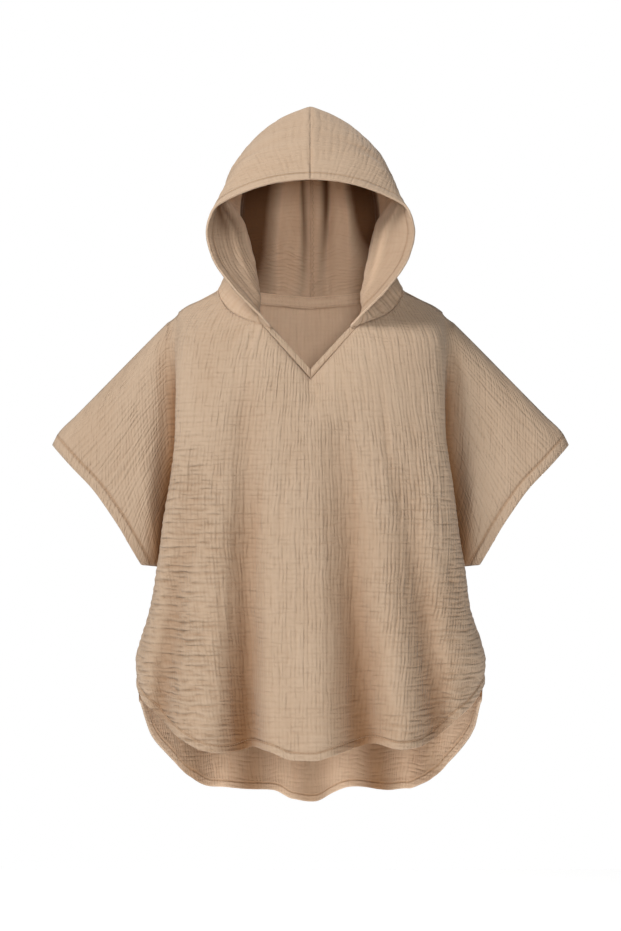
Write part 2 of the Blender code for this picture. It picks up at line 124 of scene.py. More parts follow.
spot_data = bpy.data.lights.new("hood_spot", "SPOT")
spot_data.energy = SPOT_POWER
spot_data.spot_size = 2 * math.atan(SPOT_WIDTH / 2 / (SPOT_AIM - SPOT_PLACE).length)
spot_data.spot_blend = 0.7
spot_data.shadow_soft_size = 0.12
spot = bpy.data.objects.new("hood_spot", spot_data)
spot.location = SPOT_PLACE
spot.rotation_euler = (SPOT_AIM - SPOT_PLACE).to_track_quat("-Z", "Y").to_euler()
bpy.context.scene.collection.objects.link(spot)
print(len(LAMPS), "lamps and a spotlight")

# %% [markdown]
# The world has to look white behind the garment, but a white world would light it from all
# sides and wash out its folds. So the camera sees the white, and everything else is lit by a dim
# one.

# %% White surroundings
AMBIENT = 0.10

world = bpy.data.worlds.new("studio")
bpy.context.scene.world = world
world.use_nodes = True
world_nodes = world.node_tree.nodes
world_links = world.node_tree.links
backdrop = world_nodes["Background"]
backdrop.inputs["Color"].default_value = (1, 1, 1, 1)
backdrop.inputs["Strength"].default_value = 1.0
dim = world_nodes.new("ShaderNodeBackground")
dim.inputs["Color"].default_value = (1.0, 0.985, 0.96, 1)
dim.inputs["Strength"].default_value = AMBIENT
seen = world_nodes.new("ShaderNodeLightPath")
either = world_nodes.new("ShaderNodeMixShader")
world_links.new(seen.outputs["Is Camera Ray"], either.inputs["Fac"])
world_links.new(dim.outputs["Background"], either.inputs[1])
world_links.new(backdrop.outputs["Background"], either.inputs[2])
world_links.new(either.outputs["Shader"], world_nodes["World Output"].inputs["Surface"])
bpy.context.scene.view_settings.view_transform = "Standard"
print("light from all round:", AMBIENT)

# %% [markdown]
# The floor is a plain pale plane, well below the hem, because the garment hangs as if worn.

# %% Floor
FLOOR_HEIGHT = -1.0
FLOOR_SIZE = 3.0

floor_mesh = bpy.data.meshes.new("floor")
bm = bmesh.new()
bmesh.ops.create_grid(bm, x_segments=1, y_segments=1, size=FLOOR_SIZE / 2)
bmesh.ops.translate(bm, vec=(0, 0, FLOOR_HEIGHT), verts=bm.verts)
bm.to_mesh(floor_mesh)
bm.free()
floor = bpy.data.objects.new("floor", floor_mesh)
bpy.context.scene.collection.objects.link(floor)
pale = bpy.data.materials.new("pale_floor")
pale.use_nodes = True
pale_shader = pale.node_tree.nodes["Principled BSDF"]
pale_shader.inputs["Base Color"].default_value = (0.93, 0.93, 0.93, 1)
pale_shader.inputs["Roughness"].default_value = 0.9
pale_shader.inputs["Emission Color"].default_value = (1, 1, 1, 1)
pale_shader.inputs["Emission Strength"].default_value = 0.55
floor.data.materials.append(pale)
print("floor at", FLOOR_HEIGHT)

# %% [markdown]
# The fine cloth has to sit exactly on the CAD form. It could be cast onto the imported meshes, but
# their facets are far wider than a pucker and would show through. So the sizes that drive that
# form are named again, and every point of the cloth is worked out from them. First come the
# walls, the oval of the neck seam, the V with its band, and the tape inside the neck.

# %% Sizes round the neck
WALL = 0.002
SEAM_GAP = 0.0003
NECK_HALF = 0.121
NECK_FRONT = 0.075
NECK_BACK = 0.062
NECK_EASE = 0.0010
NECK_DROP = 0.0006
NECK_SOFTNESS = 0.30
NECK_BLEND = 0.008
NECK_SOFT_SPAN = 0.04
V_POINT = -0.1184
V_CORNER_X = 0.0625
V_CORNER_Z = -0.0482
BAND_CORNER_X = 0.049
BAND_CORNER_Z = -0.0523
BAND_RISE = 0.0121
BAND_LEAN = 0.003
BAND_END = 0.985
TAPE_HEIGHT = 0.016
TAPE_ABOVE_SEAM = 0.006
TAPE_WALL = 0.0012
TAPE_INSET = 0.0048
TAPE_START = 112.0
print("depth of the V, mm:", round((V_CORNER_Z - V_POINT) * 1000, 1))

# %% [markdown]
# Each table below is read through a smooth curve. A plain spline would swing past the values of a
# table where they change quickly, and leave bumps in a hem. This one never overshoots them, so a
# few rows are enough to draw a hem or a shoulder. Two small easing curves do the rest.

# %% Curves through the tables


def through(knots, values, at):
    """A smooth curve through the given values that never overshoots them."""
    knots = np.asarray(knots, float)
    values = np.asarray(values, float)
    at = np.clip(np.asarray(at, float), knots[0], knots[-1])
    steps = np.diff(knots)
    slopes = np.diff(values) / steps
    tangents = np.concatenate([slopes[:1], np.zeros(len(knots) - 2), slopes[-1:]])
    before, after = slopes[:-1], slopes[1:]
    rising = before * after > 0
    tangents[1:-1][rising] = (2 * before * after / (before + after + 1e-12))[rising]
    i = np.clip(np.searchsorted(knots, at, side="right") - 1, 0, len(knots) - 2)
    t = (at - knots[i]) / steps[i]
    start = values[i] * (1 + 2 * t) * (1 - t) ** 2
    end = values[i + 1] * t**2 * (3 - 2 * t)
    bend = steps[i] * (tangents[i] * t * (1 - t) ** 2 + tangents[i + 1] * t**2 * (t - 1))
    return start + end + bend


def reading(table, names, wanted, at):
    """The wanted column of a table, read at any value of its first column."""
    rows = np.array(table)
    return through(rows[:, 0], rows[:, names.index(wanted)], at)


def eased(share):
    share = np.clip(share, 0, 1)
    return share * share * (3 - 2 * share)


def rounded(share, power):
    """0 at 0 and 1 at 1, leaving 0 steeply and arriving level, as a round shoulder does."""
    return (1 - (1 - np.clip(share, 0, 1)) ** power) ** (1 / power)


print("a round shoulder, half way:", round(float(rounded(0.5, 2)), 3))

# %% [markdown]
# The body hangs from the shoulders like a tube that is wider than deep. One row of the table says
# how wide it is at a level, how far its side turns back behind the front, where the sleeve or the
# open side starts, and how deep the front and back bow out. The hems dip and rise with the folds,
# so they have tables of their own, and so do the overarm line and the neck seam, by degrees round
# it.

# %% Tables of the body
FOLD_SHARE = 0.78
SHOULDER_HALF = 0.1715
SLEEVE_ROOT_X = 0.186
UNDERARM = -0.362
UNDERARM_ROUNDING = 0.05
SIDE_ROUNDNESS = 2.5
SHOULDER_DROP = 0.095
SLEEVE_ROOT_DROP = 0.050
SHOULDER_ROUND = 2.1
SIDE_HEM_SHARE = 0.015
CLOSING_START = -0.345
CLOSING_SPAN = 0.06
BODY_COLUMNS = ("height", "half", "turn", "root", "root_depth", "front", "back")
BODY = (
    (-0.700, 0.217, 0.016, 0.213, 0.000, 0.134, 0.142),
    (-0.507, 0.2245, 0.016, 0.221, 0.000, 0.126, 0.128),
    (-0.480, 0.2256, 0.016, 0.222, 0.000, 0.125, 0.126),
    (-0.458, 0.2205, 0.017, 0.216, 0.000, 0.123, 0.124),
    (-0.412, 0.2065, 0.024, 0.200, 0.000, 0.120, 0.118),
    (-0.362, 0.1980, 0.036, 0.183, 0.009, 0.115, 0.111),
    (-0.300, 0.1890, 0.047, 0.180, 0.012, 0.109, 0.105),
    (-0.245, 0.1805, 0.053, 0.180, 0.018, 0.104, 0.101),
    (-0.190, 0.1730, 0.054, 0.183, 0.025, 0.100, 0.098),
    (-0.130, 0.1715, 0.048, 0.186, 0.028, 0.094, 0.094),
    (-0.044, 0.1715, 0.032, 0.186, 0.024, 0.084, 0.083),
    (0.010, 0.1715, 0.028, 0.186, 0.022, 0.080, 0.076),
)
OVERARM_COLUMNS = ("out", "height")
OVERARM = (
    (0.118, 0.000), (0.143, -0.0135), (0.160, -0.0215), (0.172, -0.0300), (0.188, -0.0455),
    (0.2225, -0.0800), (0.270, -0.1285), (0.305, -0.1640), (0.328, -0.1870), (0.3355, -0.2015),
)
NECK_COLUMNS = ("turn", "height")
NECK = (
    (23.0, -0.0523), (31.0, -0.0482), (43.0, -0.0412), (60.0, -0.0284), (68.0, -0.0197),
    (80.0, -0.0082), (90.0, -0.0015), (110.0, -0.0010), (140.0, -0.0060), (180.0, -0.0120),
)
HEM_COLUMNS = ("share", "front", "back")
HEM = (
    (-1.00, -0.495, -0.495), (-0.985, -0.511, -0.538), (-0.94, -0.529, -0.586),
    (-0.87, -0.545, -0.611), (-0.80, -0.560, -0.629), (-0.72, -0.574, -0.644),
    (-0.60, -0.587, -0.661), (-0.47, -0.591, -0.663), (-0.36, -0.585, -0.662),
    (-0.24, -0.587, -0.667), (-0.10, -0.597, -0.680), (0.02, -0.598, -0.681),
    (0.13, -0.592, -0.672), (0.25, -0.585, -0.663), (0.36, -0.580, -0.660),
    (0.50, -0.585, -0.664), (0.60, -0.583, -0.664), (0.68, -0.575, -0.655),
    (0.75, -0.563, -0.643), (0.82, -0.549, -0.628), (0.90, -0.534, -0.605),
    (0.96, -0.517, -0.577), (0.985, -0.508, -0.538), (1.00, -0.495, -0.495),
)
print("front hem at the middle:", float(reading(HEM, HEM_COLUMNS, "front", 0.0)))

# %% [markdown]
# The top edge of a panel is the neckline in the middle and the shoulder line outside it. The
# front's neckline runs straight down to the point of the V. The edge is cut a little wider than
# the hood's, so that the two pieces meet face to face at the seam and never cross.

# %% Neckline


def panel_neck_depth(x, facing):
    """Depth of a panel's neckline, which is cut a little wider than the hood's."""
    deep = NECK_EASE + (NECK_FRONT if facing < 0 else NECK_BACK)
    return deep * np.sqrt(np.clip(1 - (x / (NECK_HALF + NECK_EASE)) ** 2, 0, 1))


def soft_neck_depth(x, below, facing):
    """The neckline's depth, which rounds off at the shoulder a little below the seam."""
    sharp = panel_neck_depth(x, facing)
    deep = panel_neck_depth(np.zeros_like(x), facing)
    level = np.sqrt((sharp / deep) ** 2 + NECK_SOFTNESS**2) - NECK_SOFTNESS
    soft = deep * level / (math.hypot(1, NECK_SOFTNESS) - NECK_SOFTNESS)
    share = 1 - np.exp(-np.maximum(below, 0) / NECK_BLEND)
    return sharp + (soft - sharp) * share * eased((x - V_CORNER_X) / NECK_SOFT_SPAN)


def top_height(x, facing):
    """Height of a panel's top edge: the neckline near the middle, then the shoulder line."""
    turn = np.degrees(np.arcsin(np.clip(x / NECK_HALF, 0, 1)))
    neck = reading(NECK, NECK_COLUMNS, "height", turn if facing < 0 else 180 - turn)
    shoulder = reading(OVERARM, OVERARM_COLUMNS, "height", x)
    edge = np.where(x < NECK_HALF, neck, shoulder)
    if facing < 0:
        v_edge = V_POINT + (V_CORNER_Z - V_POINT) * x / V_CORNER_X
        edge = np.where(x <= V_CORNER_X + NECK_EASE, v_edge, edge)
    return edge - np.where(x < NECK_HALF, NECK_DROP, 0.0)


print("neckline at the shoulder:", round(float(top_height(np.array(NECK_HALF), -1)), 4))

# %% [markdown]
# Under its own weight the wide cloth falls in a few large upright folds. A cloth simulation would
# make folds too, but not where these are. So each fold is a row: where it starts, where it meets
# the hem, its width, its depth and how far it leans. It is a soft trough that deepens towards the
# hem.

# %% Large folds
FOLD_COLUMNS = ("x_top", "x_hem", "start", "width", "depth", "lean")
FRONT_FOLDS = (
    (-0.146, -0.196, -0.190, 0.017, 0.024, 0.000),
    (-0.082, -0.086, -0.110, 0.024, 0.046, 0.009),
    (0.034, 0.066, -0.121, 0.029, 0.044, 0.002),
    (0.110, 0.163, -0.180, 0.022, 0.031, 0.003),
)
BACK_FOLDS = (
    (-0.118, -0.152, -0.180, 0.020, 0.027, 0.000),
    (-0.050, -0.076, -0.120, 0.024, 0.036, 0.004),
    (0.022, 0.004, -0.180, 0.020, 0.023, 0.000),
    (0.075, 0.088, -0.100, 0.025, 0.040, 0.000),
    (0.130, 0.158, -0.240, 0.018, 0.020, 0.000),
)
FOLD_FOOT = -0.60
FOLD_REACH = 1.15
FOLD_NARROWING = 0.25
FOLD_DEEPENING = 1.1
FOLD_FADE = 0.16


def folded(x, height, folds):
    """How far the large folds push the cloth in, and how far they lean sideways."""
    pushed = np.zeros_like(x)
    leaned = np.zeros_like(x)
    for row in folds:
        fold = dict(zip(FOLD_COLUMNS, row))
        down = (fold["start"] - height) / (fold["start"] - FOLD_FOOT)
        down = np.clip(down, 0, FOLD_REACH)
        middle = fold["x_top"] + (fold["x_hem"] - fold["x_top"]) * down
        spread = fold["width"] * (1 - FOLD_NARROWING * (1 - down))
        trough = np.exp(-(((x - middle) / spread) ** 2)) * down**FOLD_DEEPENING
        pushed += fold["depth"] * trough
        leaned += fold["lean"] * trough
    return pushed, leaned


print(len(FRONT_FOLDS), "large folds in front,", len(BACK_FOLDS), "behind")

# %% [markdown]
# The body is a loft: at each level the cloth bows out in front, turns back at the side and swings
# in to where the sleeve starts. It could be skinned over a few rings, but a function of two
# shares, one across and one down, gives the same form at any spacing of points.

# %% Form of the body


def body_point(across, down, facing):
    """A point of the body. across: -1 to 1 over its width. down: 0 top edge, 1 underarm, 2 hem."""
    out = np.abs(across)
    side = np.sign(across)
    round_share = np.sin(np.clip(out / FOLD_SHARE, 0, 1) * math.pi / 2)
    behind = np.clip((out - FOLD_SHARE) / (1 - FOLD_SHARE), 0, 1)
    top_x = SHOULDER_HALF * round_share + (SLEEVE_ROOT_X - SHOULDER_HALF) * behind
    top = top_height(top_x, facing)
    hem_share = side * ((1 - SIDE_HEM_SHARE) * round_share + SIDE_HEM_SHARE * behind)
    hem = reading(HEM, HEM_COLUMNS, "front" if facing < 0 else "back", hem_share)
    height = np.where(
        down <= 1, top + (UNDERARM - top) * down, UNDERARM + (hem - UNDERARM) * (down - 1)
    )
    half, turn, root, root_depth, middle = (
        reading(BODY, BODY_COLUMNS, name, height)
        for name in ("half", "turn", "root", "root_depth", "front" if facing < 0 else "back")
    )
    root_depth = root_depth * rounded((height - UNDERARM) / UNDERARM_ROUNDING, 2)
    x = half * round_share
    bow = np.clip(1 - round_share**SIDE_ROUNDNESS, 0, 1) ** (1 / SIDE_ROUNDNESS)
    depth = turn + (middle - turn) * bow

    closing = eased((CLOSING_START - height) / CLOSING_SPAN) * math.pi / 2
    reach = 0.5 * np.hypot(root - half, root_depth - turn)
    t = behind
    bends = (3 * t * (1 - t) ** 2, 3 * t**2 * (1 - t))
    swing_x = half * (1 - t) ** 3 + half * bends[0] + root * t**3
    swing_x += (root - reach * np.cos(closing)) * bends[1]
    swing_depth = turn * (1 - t) ** 3 + (turn - reach) * bends[0] + root_depth * t**3
    swing_depth += (root_depth + reach * np.sin(closing)) * bends[1]
    x = np.where(out > FOLD_SHARE, swing_x, x)
    depth = np.where(out > FOLD_SHARE, swing_depth, depth)

    top_depth = soft_neck_depth(top_x, top - height, facing)
    drop = SHOULDER_DROP + (SLEEVE_ROOT_DROP - SHOULDER_DROP) * eased(top_x / SLEEVE_ROOT_X)
    depth = top_depth + (depth - top_depth) * rounded((top - height) / drop, SHOULDER_ROUND)
    pushed, leaned = folded(side * x, height, FRONT_FOLDS if facing < 0 else BACK_FOLDS)
    fade = eased((FOLD_SHARE - out) / FOLD_FADE)
    return side * x + leaned * fade, facing * (depth - pushed * fade), height


print("chest depth:", [float(v) for v in body_point(np.array([0.1]), np.array([0.8]), -1)[1]])

# %% [markdown]
# A sleeve is cut in one with its panel. Its four edges are known: the body's side, the overarm,
# the underarm and its own hem. A patch that blends them in both directions fills in the rest, and
# flattens from the round root to a soft tube towards the hem.

# %% Form of a sleeve
SLEEVE_HALF_DEPTH = 0.034
SLEEVE_ROUND = 2.3
SLEEVE_BLEND = 0.45
UNDERARM_HEM_X = 0.219
UNDERARM_HEM_Z = -0.3585
SLEEVE_HEM_COLUMNS = ("share", "out", "height")
SLEEVE_HEM = (
    (0.00, 0.3355, -0.2015), (0.20, 0.3080, -0.2310), (0.40, 0.2810, -0.2590),
    (0.56, 0.2610, -0.2865), (0.72, 0.2445, -0.3120), (0.87, 0.2315, -0.3355),
    (1.00, 0.2190, -0.3585),
)


def sleeve_point(out, down, side, facing):
    """A point of a sleeve. out: 0 at the body, 1 at the hem. down: 0 overarm, 1 underarm."""
    root_x, root_y, root_z = body_point(np.full_like(out, 1.0), down, facing)
    over_x = SLEEVE_ROOT_X + (OVERARM[-1][0] - SLEEVE_ROOT_X) * out
    over_z = reading(OVERARM, OVERARM_COLUMNS, "height", over_x)
    hem_x = reading(SLEEVE_HEM, SLEEVE_HEM_COLUMNS, "out", down)
    hem_z = reading(SLEEVE_HEM, SLEEVE_HEM_COLUMNS, "height", down)
    under_root = reading(BODY, BODY_COLUMNS, "root", UNDERARM)
    under_x = under_root + (UNDERARM_HEM_X - under_root) * out
    under_z = UNDERARM + (UNDERARM_HEM_Z - UNDERARM) * out
    root_top_z = top_height(np.array(SLEEVE_ROOT_X), facing)

    def patch(root, hem, over, under, corners):
        flat = (1 - out) * root + out * hem + (1 - down) * over + down * under
        at_root, at_tip, at_under, at_hem = corners
        return flat - (
            (1 - out) * ((1 - down) * at_root + down * at_under)
            + out * ((1 - down) * at_tip + down * at_hem)
        )

    x = patch(root_x, hem_x, over_x, under_x,
              (SLEEVE_ROOT_X, OVERARM[-1][0], under_root, UNDERARM_HEM_X))
    z = patch(root_z, hem_z, over_z, under_z,
              (root_top_z, OVERARM[-1][1], UNDERARM, UNDERARM_HEM_Z))
    tube = (1 - np.abs(2 * down - 1) ** SLEEVE_ROUND) ** (1 / SLEEVE_ROUND)
    blend = eased(out / SLEEVE_BLEND)
    y = root_y * (1 - blend) + facing * SLEEVE_HALF_DEPTH * tube * blend
    return side * x, y, z


print("reach of a sleeve:", OVERARM[-1][0])

# %% [markdown]
# The hood is another loft. Nine sections run from just above the neck seam to the peak, and each
# one goes from the flared front edge, in to the crease behind it, out round the cheek, on to the
# corner and to the seam at the back.

# %% Sections of the hood
HOOD_COLUMNS = (
    "level", "rim_x", "rim_y", "rim_z", "crease_x", "crease_y", "crease_z",
    "side_x", "side_y", "side_z", "corner_x", "corner_y", "corner_z", "back_y", "back_z",
)
HOOD = (
    (0.12, 0.078, -0.077, -0.026, 0.067, -0.046, -0.010, 0.109, 0.004, 0.022,
     0.082, 0.060, 0.018, 0.079, 0.016),
    (0.24, 0.103, -0.081, 0.001, 0.0700, -0.040, 0.012, 0.102, 0.012, 0.042,
     0.084, 0.072, 0.042, 0.094, 0.046),
    (0.38, 0.1255, -0.081, 0.036, 0.0765, -0.037, 0.042, 0.099, 0.018, 0.072,
     0.084, 0.084, 0.074, 0.110, 0.084),
    (0.48, 0.1325, -0.079, 0.066, 0.0860, -0.038, 0.076, 0.103, 0.020, 0.102,
     0.083, 0.090, 0.104, 0.118, 0.116),
    (0.58, 0.1245, -0.079, 0.0955, 0.1115, -0.046, 0.118, 0.107, 0.018, 0.132,
     0.079, 0.088, 0.134, 0.118, 0.147),
    (0.70, 0.088, -0.087, 0.1165, 0.0995, -0.052, 0.147, 0.0945, 0.015, 0.167,
     0.069, 0.081, 0.167, 0.110, 0.178),
    (0.85, 0.044, -0.095, 0.1290, 0.062, -0.056, 0.172, 0.0645, 0.010, 0.2055,
     0.045, 0.069, 0.199, 0.096, 0.202),
    (0.93, 0.021, -0.097, 0.1318, 0.033, -0.057, 0.181, 0.036, 0.009, 0.2250,
     0.024, 0.063, 0.218, 0.089, 0.210),
    (1.00, 0.000, -0.098, 0.1330, 0.000, -0.058, 0.187, 0.000, 0.008, 0.2385,
     0.000, 0.058, 0.233, 0.083, 0.216),
)
HOOD_KNOTS = (0.0, 0.25, 0.50, 0.75, 1.0)
HOOD_TURNS = (23.9, 45.0, 90.0, 135.0, 180.0)
SEAM_HOLD = 0.12
print(len(BODY), "body levels,", len(HOOD), "hood sections,", len(HEM), "hem points")

# %% [markdown]
# A Catmull-Rom curve runs round each section, because it passes through its points without
# corners. Next to the neck the hood follows the seam's oval exactly, so that it never parts from
# the panels.

# %% Form of the hood


def neck_point(turn):
    """A point of the neck seam, at a number of degrees round from the front."""
    angle = np.radians(turn)
    deep = np.where(turn < 90, NECK_FRONT, NECK_BACK)
    height = reading(NECK, NECK_COLUMNS, "height", turn)
    return NECK_HALF * np.sin(angle), -deep * np.cos(angle), height


def spline(knots, values, at):
    """A Catmull-Rom curve whose values differ from point to point."""
    knots = np.asarray(knots)
    values = np.array(values)
    gaps = np.diff(knots)
    slopes = np.diff(values, axis=0) / gaps[:, None, None]
    inner = slopes[:-1] * gaps[1:, None, None] + slopes[1:] * gaps[:-1, None, None]
    inner = inner / (gaps[:-1] + gaps[1:])[:, None, None]
    tangents = np.concatenate([slopes[:1], inner, slopes[-1:]])
    i = np.clip(np.searchsorted(knots, at, side="right") - 1, 0, len(knots) - 2)
    rows, columns = np.indices(at.shape)
    t = (at - knots[i]) / gaps[i]
    here, there = values[i, rows, columns], values[i + 1, rows, columns]
    leaving = tangents[i, rows, columns] * gaps[i]
    arriving = tangents[i + 1, rows, columns] * gaps[i]
    return (
        here * (1 + 2 * t) * (1 - t) ** 2 + there * t**2 * (3 - 2 * t)
        + leaving * t * (1 - t) ** 2 + arriving * t**2 * (t - 1)
    )


def hood_point(around, up):
    """A point of the right half. around: 0 rim, 1 back. up: 0 neck seam, 1 seam over the head."""
    bottom = [neck_point(np.array(turn)) for turn in HOOD_TURNS]
    bottom_row = [0.0]
    for x, y, z in bottom[:-1]:
        bottom_row += [float(x), float(y), float(z)]
    bottom_row += [float(bottom[-1][1]), float(bottom[-1][2])]
    table = (tuple(bottom_row),) + HOOD
    knots = {}
    for axis in "xyz":
        names = [f"{place}_{axis}" for place in ("rim", "crease", "side", "corner")]
        columns = [reading(table, HOOD_COLUMNS, name, up) for name in names]
        if axis == "x":
            columns.append(np.zeros_like(up))
        else:
            columns.append(reading(table, HOOD_COLUMNS, f"back_{axis}", up))
        knots[axis] = columns
    point = [spline(HOOD_KNOTS, knots[axis], around) for axis in "xyz"]
    seam = neck_point(through(HOOD_KNOTS, HOOD_TURNS, around))
    hold = (1 - np.clip(up / SEAM_HOLD, 0, 1)) ** 2
    return [p * (1 - hold) + s * hold for p, s in zip(point, seam)]


print("peak of the hood:", float(hood_point(np.array([[0.5]]), np.array([[1.0]]))[2][0, 0]))

# %% [markdown]
# Double gauze is two thin cloths caught together here and there. When it is washed, the cloth
# between the catches puckers into small soft cells and long crinkles that follow its threads.
# They lie in uneven rows and columns, because the catches follow the threads. A sine gives the
# rows, and a seeded gradient noise bends them and makes each one stronger here and weaker there.
# Coordinates are those of the flat cloth, in metres, so the crinkles turn with the cloth where a
# sleeve slopes away.

# %% Puckers of the gauze
NOISE_TILE = 256
PUCKER = 0.012
UPRIGHT_PITCH = 0.0125
LEVEL_PITCH = 0.0108
UPRIGHT_HEIGHT = 0.00038
LEVEL_HEIGHT = 0.00042
CELL_HEIGHT = 0.00030
ROLL_HEIGHT = 0.0011
ROLL_WIDTH = 0.045
ROLL_LENGTH = 0.080
CRINKLE_BEND = 0.40
BEND_PITCHES = 3
BEND_LENGTH = 0.060
BREAK_PITCHES = 1.6
BREAK_LENGTH = 0.032


def hills(u, v, seed):
    """Smooth random hills, about one unit across and from about -1 to 1."""
    angles = np.random.default_rng(seed).uniform(0, 2 * math.pi, (NOISE_TILE, NOISE_TILE))
    iu, iv = np.floor(u).astype(int), np.floor(v).astype(int)
    fu, fv = u - iu, v - iv

    def corner(du, dv):
        angle = angles[(iu + du) % NOISE_TILE, (iv + dv) % NOISE_TILE]
        return np.cos(angle) * (fu - du) + np.sin(angle) * (fv - dv)

    su = fu**3 * (fu * (6 * fu - 15) + 10)
    sv = fv**3 * (fv * (6 * fv - 15) + 10)
    low = corner(0, 0) * (1 - su) + corner(1, 0) * su
    high = corner(0, 1) * (1 - su) + corner(1, 1) * su
    return 1.5 * (low * (1 - sv) + high * sv)


def rows_of_crinkles(across, along, pitch, seed):
    """Crinkles a pitch apart that run along the cloth, bent and broken by noise."""
    bend = CRINKLE_BEND * hills(across / (BEND_PITCHES * pitch), along / BEND_LENGTH, seed)
    breaks = hills(across / (BREAK_PITCHES * pitch), along / BREAK_LENGTH, seed + 50)
    broken = 0.35 + 0.95 * np.clip(breaks + 0.45, 0, 1)
    return broken * np.sin(2 * math.pi * (across / pitch + bend))


def gauze(u, v, warp, seed):
    """Height of the puckered cloth. warp: 1 where upright crinkles rule, 0 where level ones do."""
    upright = rows_of_crinkles(u, v, UPRIGHT_PITCH, seed + 1)
    level = rows_of_crinkles(v, u, LEVEL_PITCH, seed + 2)
    cells = hills(u / PUCKER, v / PUCKER, seed + 3)
    rolling = hills(u / ROLL_WIDTH, v / ROLL_LENGTH, seed + 4)
    crinkles = UPRIGHT_HEIGHT * warp * upright + LEVEL_HEIGHT * (1 - warp) * level
    return crinkles + CELL_HEIGHT * cells + ROLL_HEIGHT * rolling


print("pucker height, mm:", float(np.ptp(gauze(*np.meshgrid(np.arange(0, 0.3, 0.002),
      np.arange(0, 0.3, 0.002)), 0.5, 3))) * 1000)

# %% [markdown]
# Hems, seams and gathers all depend on how far a point of the cloth is from some edge. A tree of
# points along the edge finds the nearest one quickly. Lengths along rows and columns tell where a
# point lies on the flat cloth. Smoothing eases a kink in the form round one place.

# %% Measuring on a grid


def arc_lengths(points, axis):
    """Distance along the rows or columns of a grid of points, from its first one."""
    steps = np.linalg.norm(np.diff(points, axis=axis), axis=-1)
    lead = [(0, 0), (0, 0)]
    lead[axis] = (1, 0)
    return np.pad(np.cumsum(steps, axis=axis), lead)


def dense(line, gap=0.0008):
    """A line of points with more between them, each about gap from the next."""
    line = np.asarray(line)
    lengths = np.concatenate([[0], np.cumsum(np.linalg.norm(np.diff(line, axis=0), axis=1))])
    at = np.linspace(0, lengths[-1], max(2, int(lengths[-1] / gap)))
    return np.stack([np.interp(at, lengths, line[:, k]) for k in range(3)], axis=1)


def distances_to(points, border):
    """Distance of every point to the nearest point of a border."""
    tree = KDTree(len(border))
    for index, place in enumerate(border):
        tree.insert(place, index)
    tree.balance()
    flat = points.reshape(-1, 3)
    found = np.array([tree.find(place)[2] for place in flat])
    return found.reshape(points.shape[:2])


def grid_normals(points):
    """Unit normals of a grid of points, from its rows and columns."""
    along = np.gradient(points, axis=1)
    down = np.gradient(points, axis=0)
    normal = np.cross(along, down)
    return normal / np.maximum(np.linalg.norm(normal, axis=-1, keepdims=True), 1e-12)


SMOOTHINGS = 170


def softened(points, x, z, reach):
    """The same grid, smoothed round one place, with its edges left alone."""
    points = points.copy()
    distance = np.hypot(points[1:-1, 1:-1, 0] - x, points[1:-1, 1:-1, 2] - z)
    share = np.exp(-((distance / reach) ** 2))[..., None]
    for _ in range(SMOOTHINGS):
        around = points[:-2, 1:-1] + points[2:, 1:-1] + points[1:-1, :-2] + points[1:-1, 2:]
        points[1:-1, 1:-1] += share * (around / 4 - points[1:-1, 1:-1])
    return points


print("points in 10 mm of a dense line:", len(dense([(0, 0, 0), (0.01, 0, 0)])))

# %% [markdown]
# A sheet starts as a flat grid from `bmesh.ops.create_grid`. Each vertex is then put in its place
# on the form, and carries its own facts along: where it lies on the flat cloth, how far it is
# from a hem and from a seam, and how high its pucker is. Sheets that meet share their vertices
# before the puckers push them along their normals, so no gap opens between body and sleeve.

# %% Sheets of cloth
MERGE = 0.00002
# The fold fact says how strongly the material paints shade at a point.
FACTS = ("relief", "hem", "seam", "warp", "fold", "rough")


def add_sheet(bm, sheet):
    """Adds one grid of cloth, with its facts, to a mesh."""
    rows, columns = sheet["points"].shape[:2]
    grid = bmesh.ops.create_grid(bm, x_segments=columns - 1, y_segments=rows - 1, size=1)
    verts = grid["verts"]
    flat_layer = bm.verts.layers.float_vector["flat"]
    layers = [bm.verts.layers.float[name] for name in FACTS]
    places = sheet["points"].reshape(-1, 3)
    flats = sheet["flat"].reshape(-1, 2)
    facts = np.stack([sheet[name].reshape(-1) for name in FACTS], axis=1)
    for vert, place, flat, values in zip(verts, places, flats, facts):
        vert.co = place
        vert[flat_layer] = (flat[0], flat[1], 0)
        for layer, value in zip(layers, values):
            vert[layer] = value
    if sheet["flip"]:
        faces = list({face for vert in verts for face in vert.link_faces})
        bmesh.ops.reverse_faces(bm, faces=faces)


def cloth_mesh(name, sheets):
    """One mesh from sheets that share their edges, with the puckers pushed out of it."""
    bm = bmesh.new()
    bm.verts.layers.float_vector.new("flat")
    for fact in FACTS:
        bm.verts.layers.float.new(fact)
    for sheet in sheets:
        add_sheet(bm, sheet)
    bmesh.ops.remove_doubles(bm, verts=bm.verts, dist=MERGE)
    bm.normal_update()
    relief = bm.verts.layers.float["relief"]
    normals = [vert.normal.copy() for vert in bm.verts]
    for vert, normal in zip(bm.verts, normals):
        vert.co += normal * vert[relief]
    mesh = bpy.data.meshes.new(name)
    bm.to_mesh(mesh)
    bm.free()
    mesh.shade_smooth()
    return mesh


print("facts carried by each vertex:", ("flat",) + FACTS)
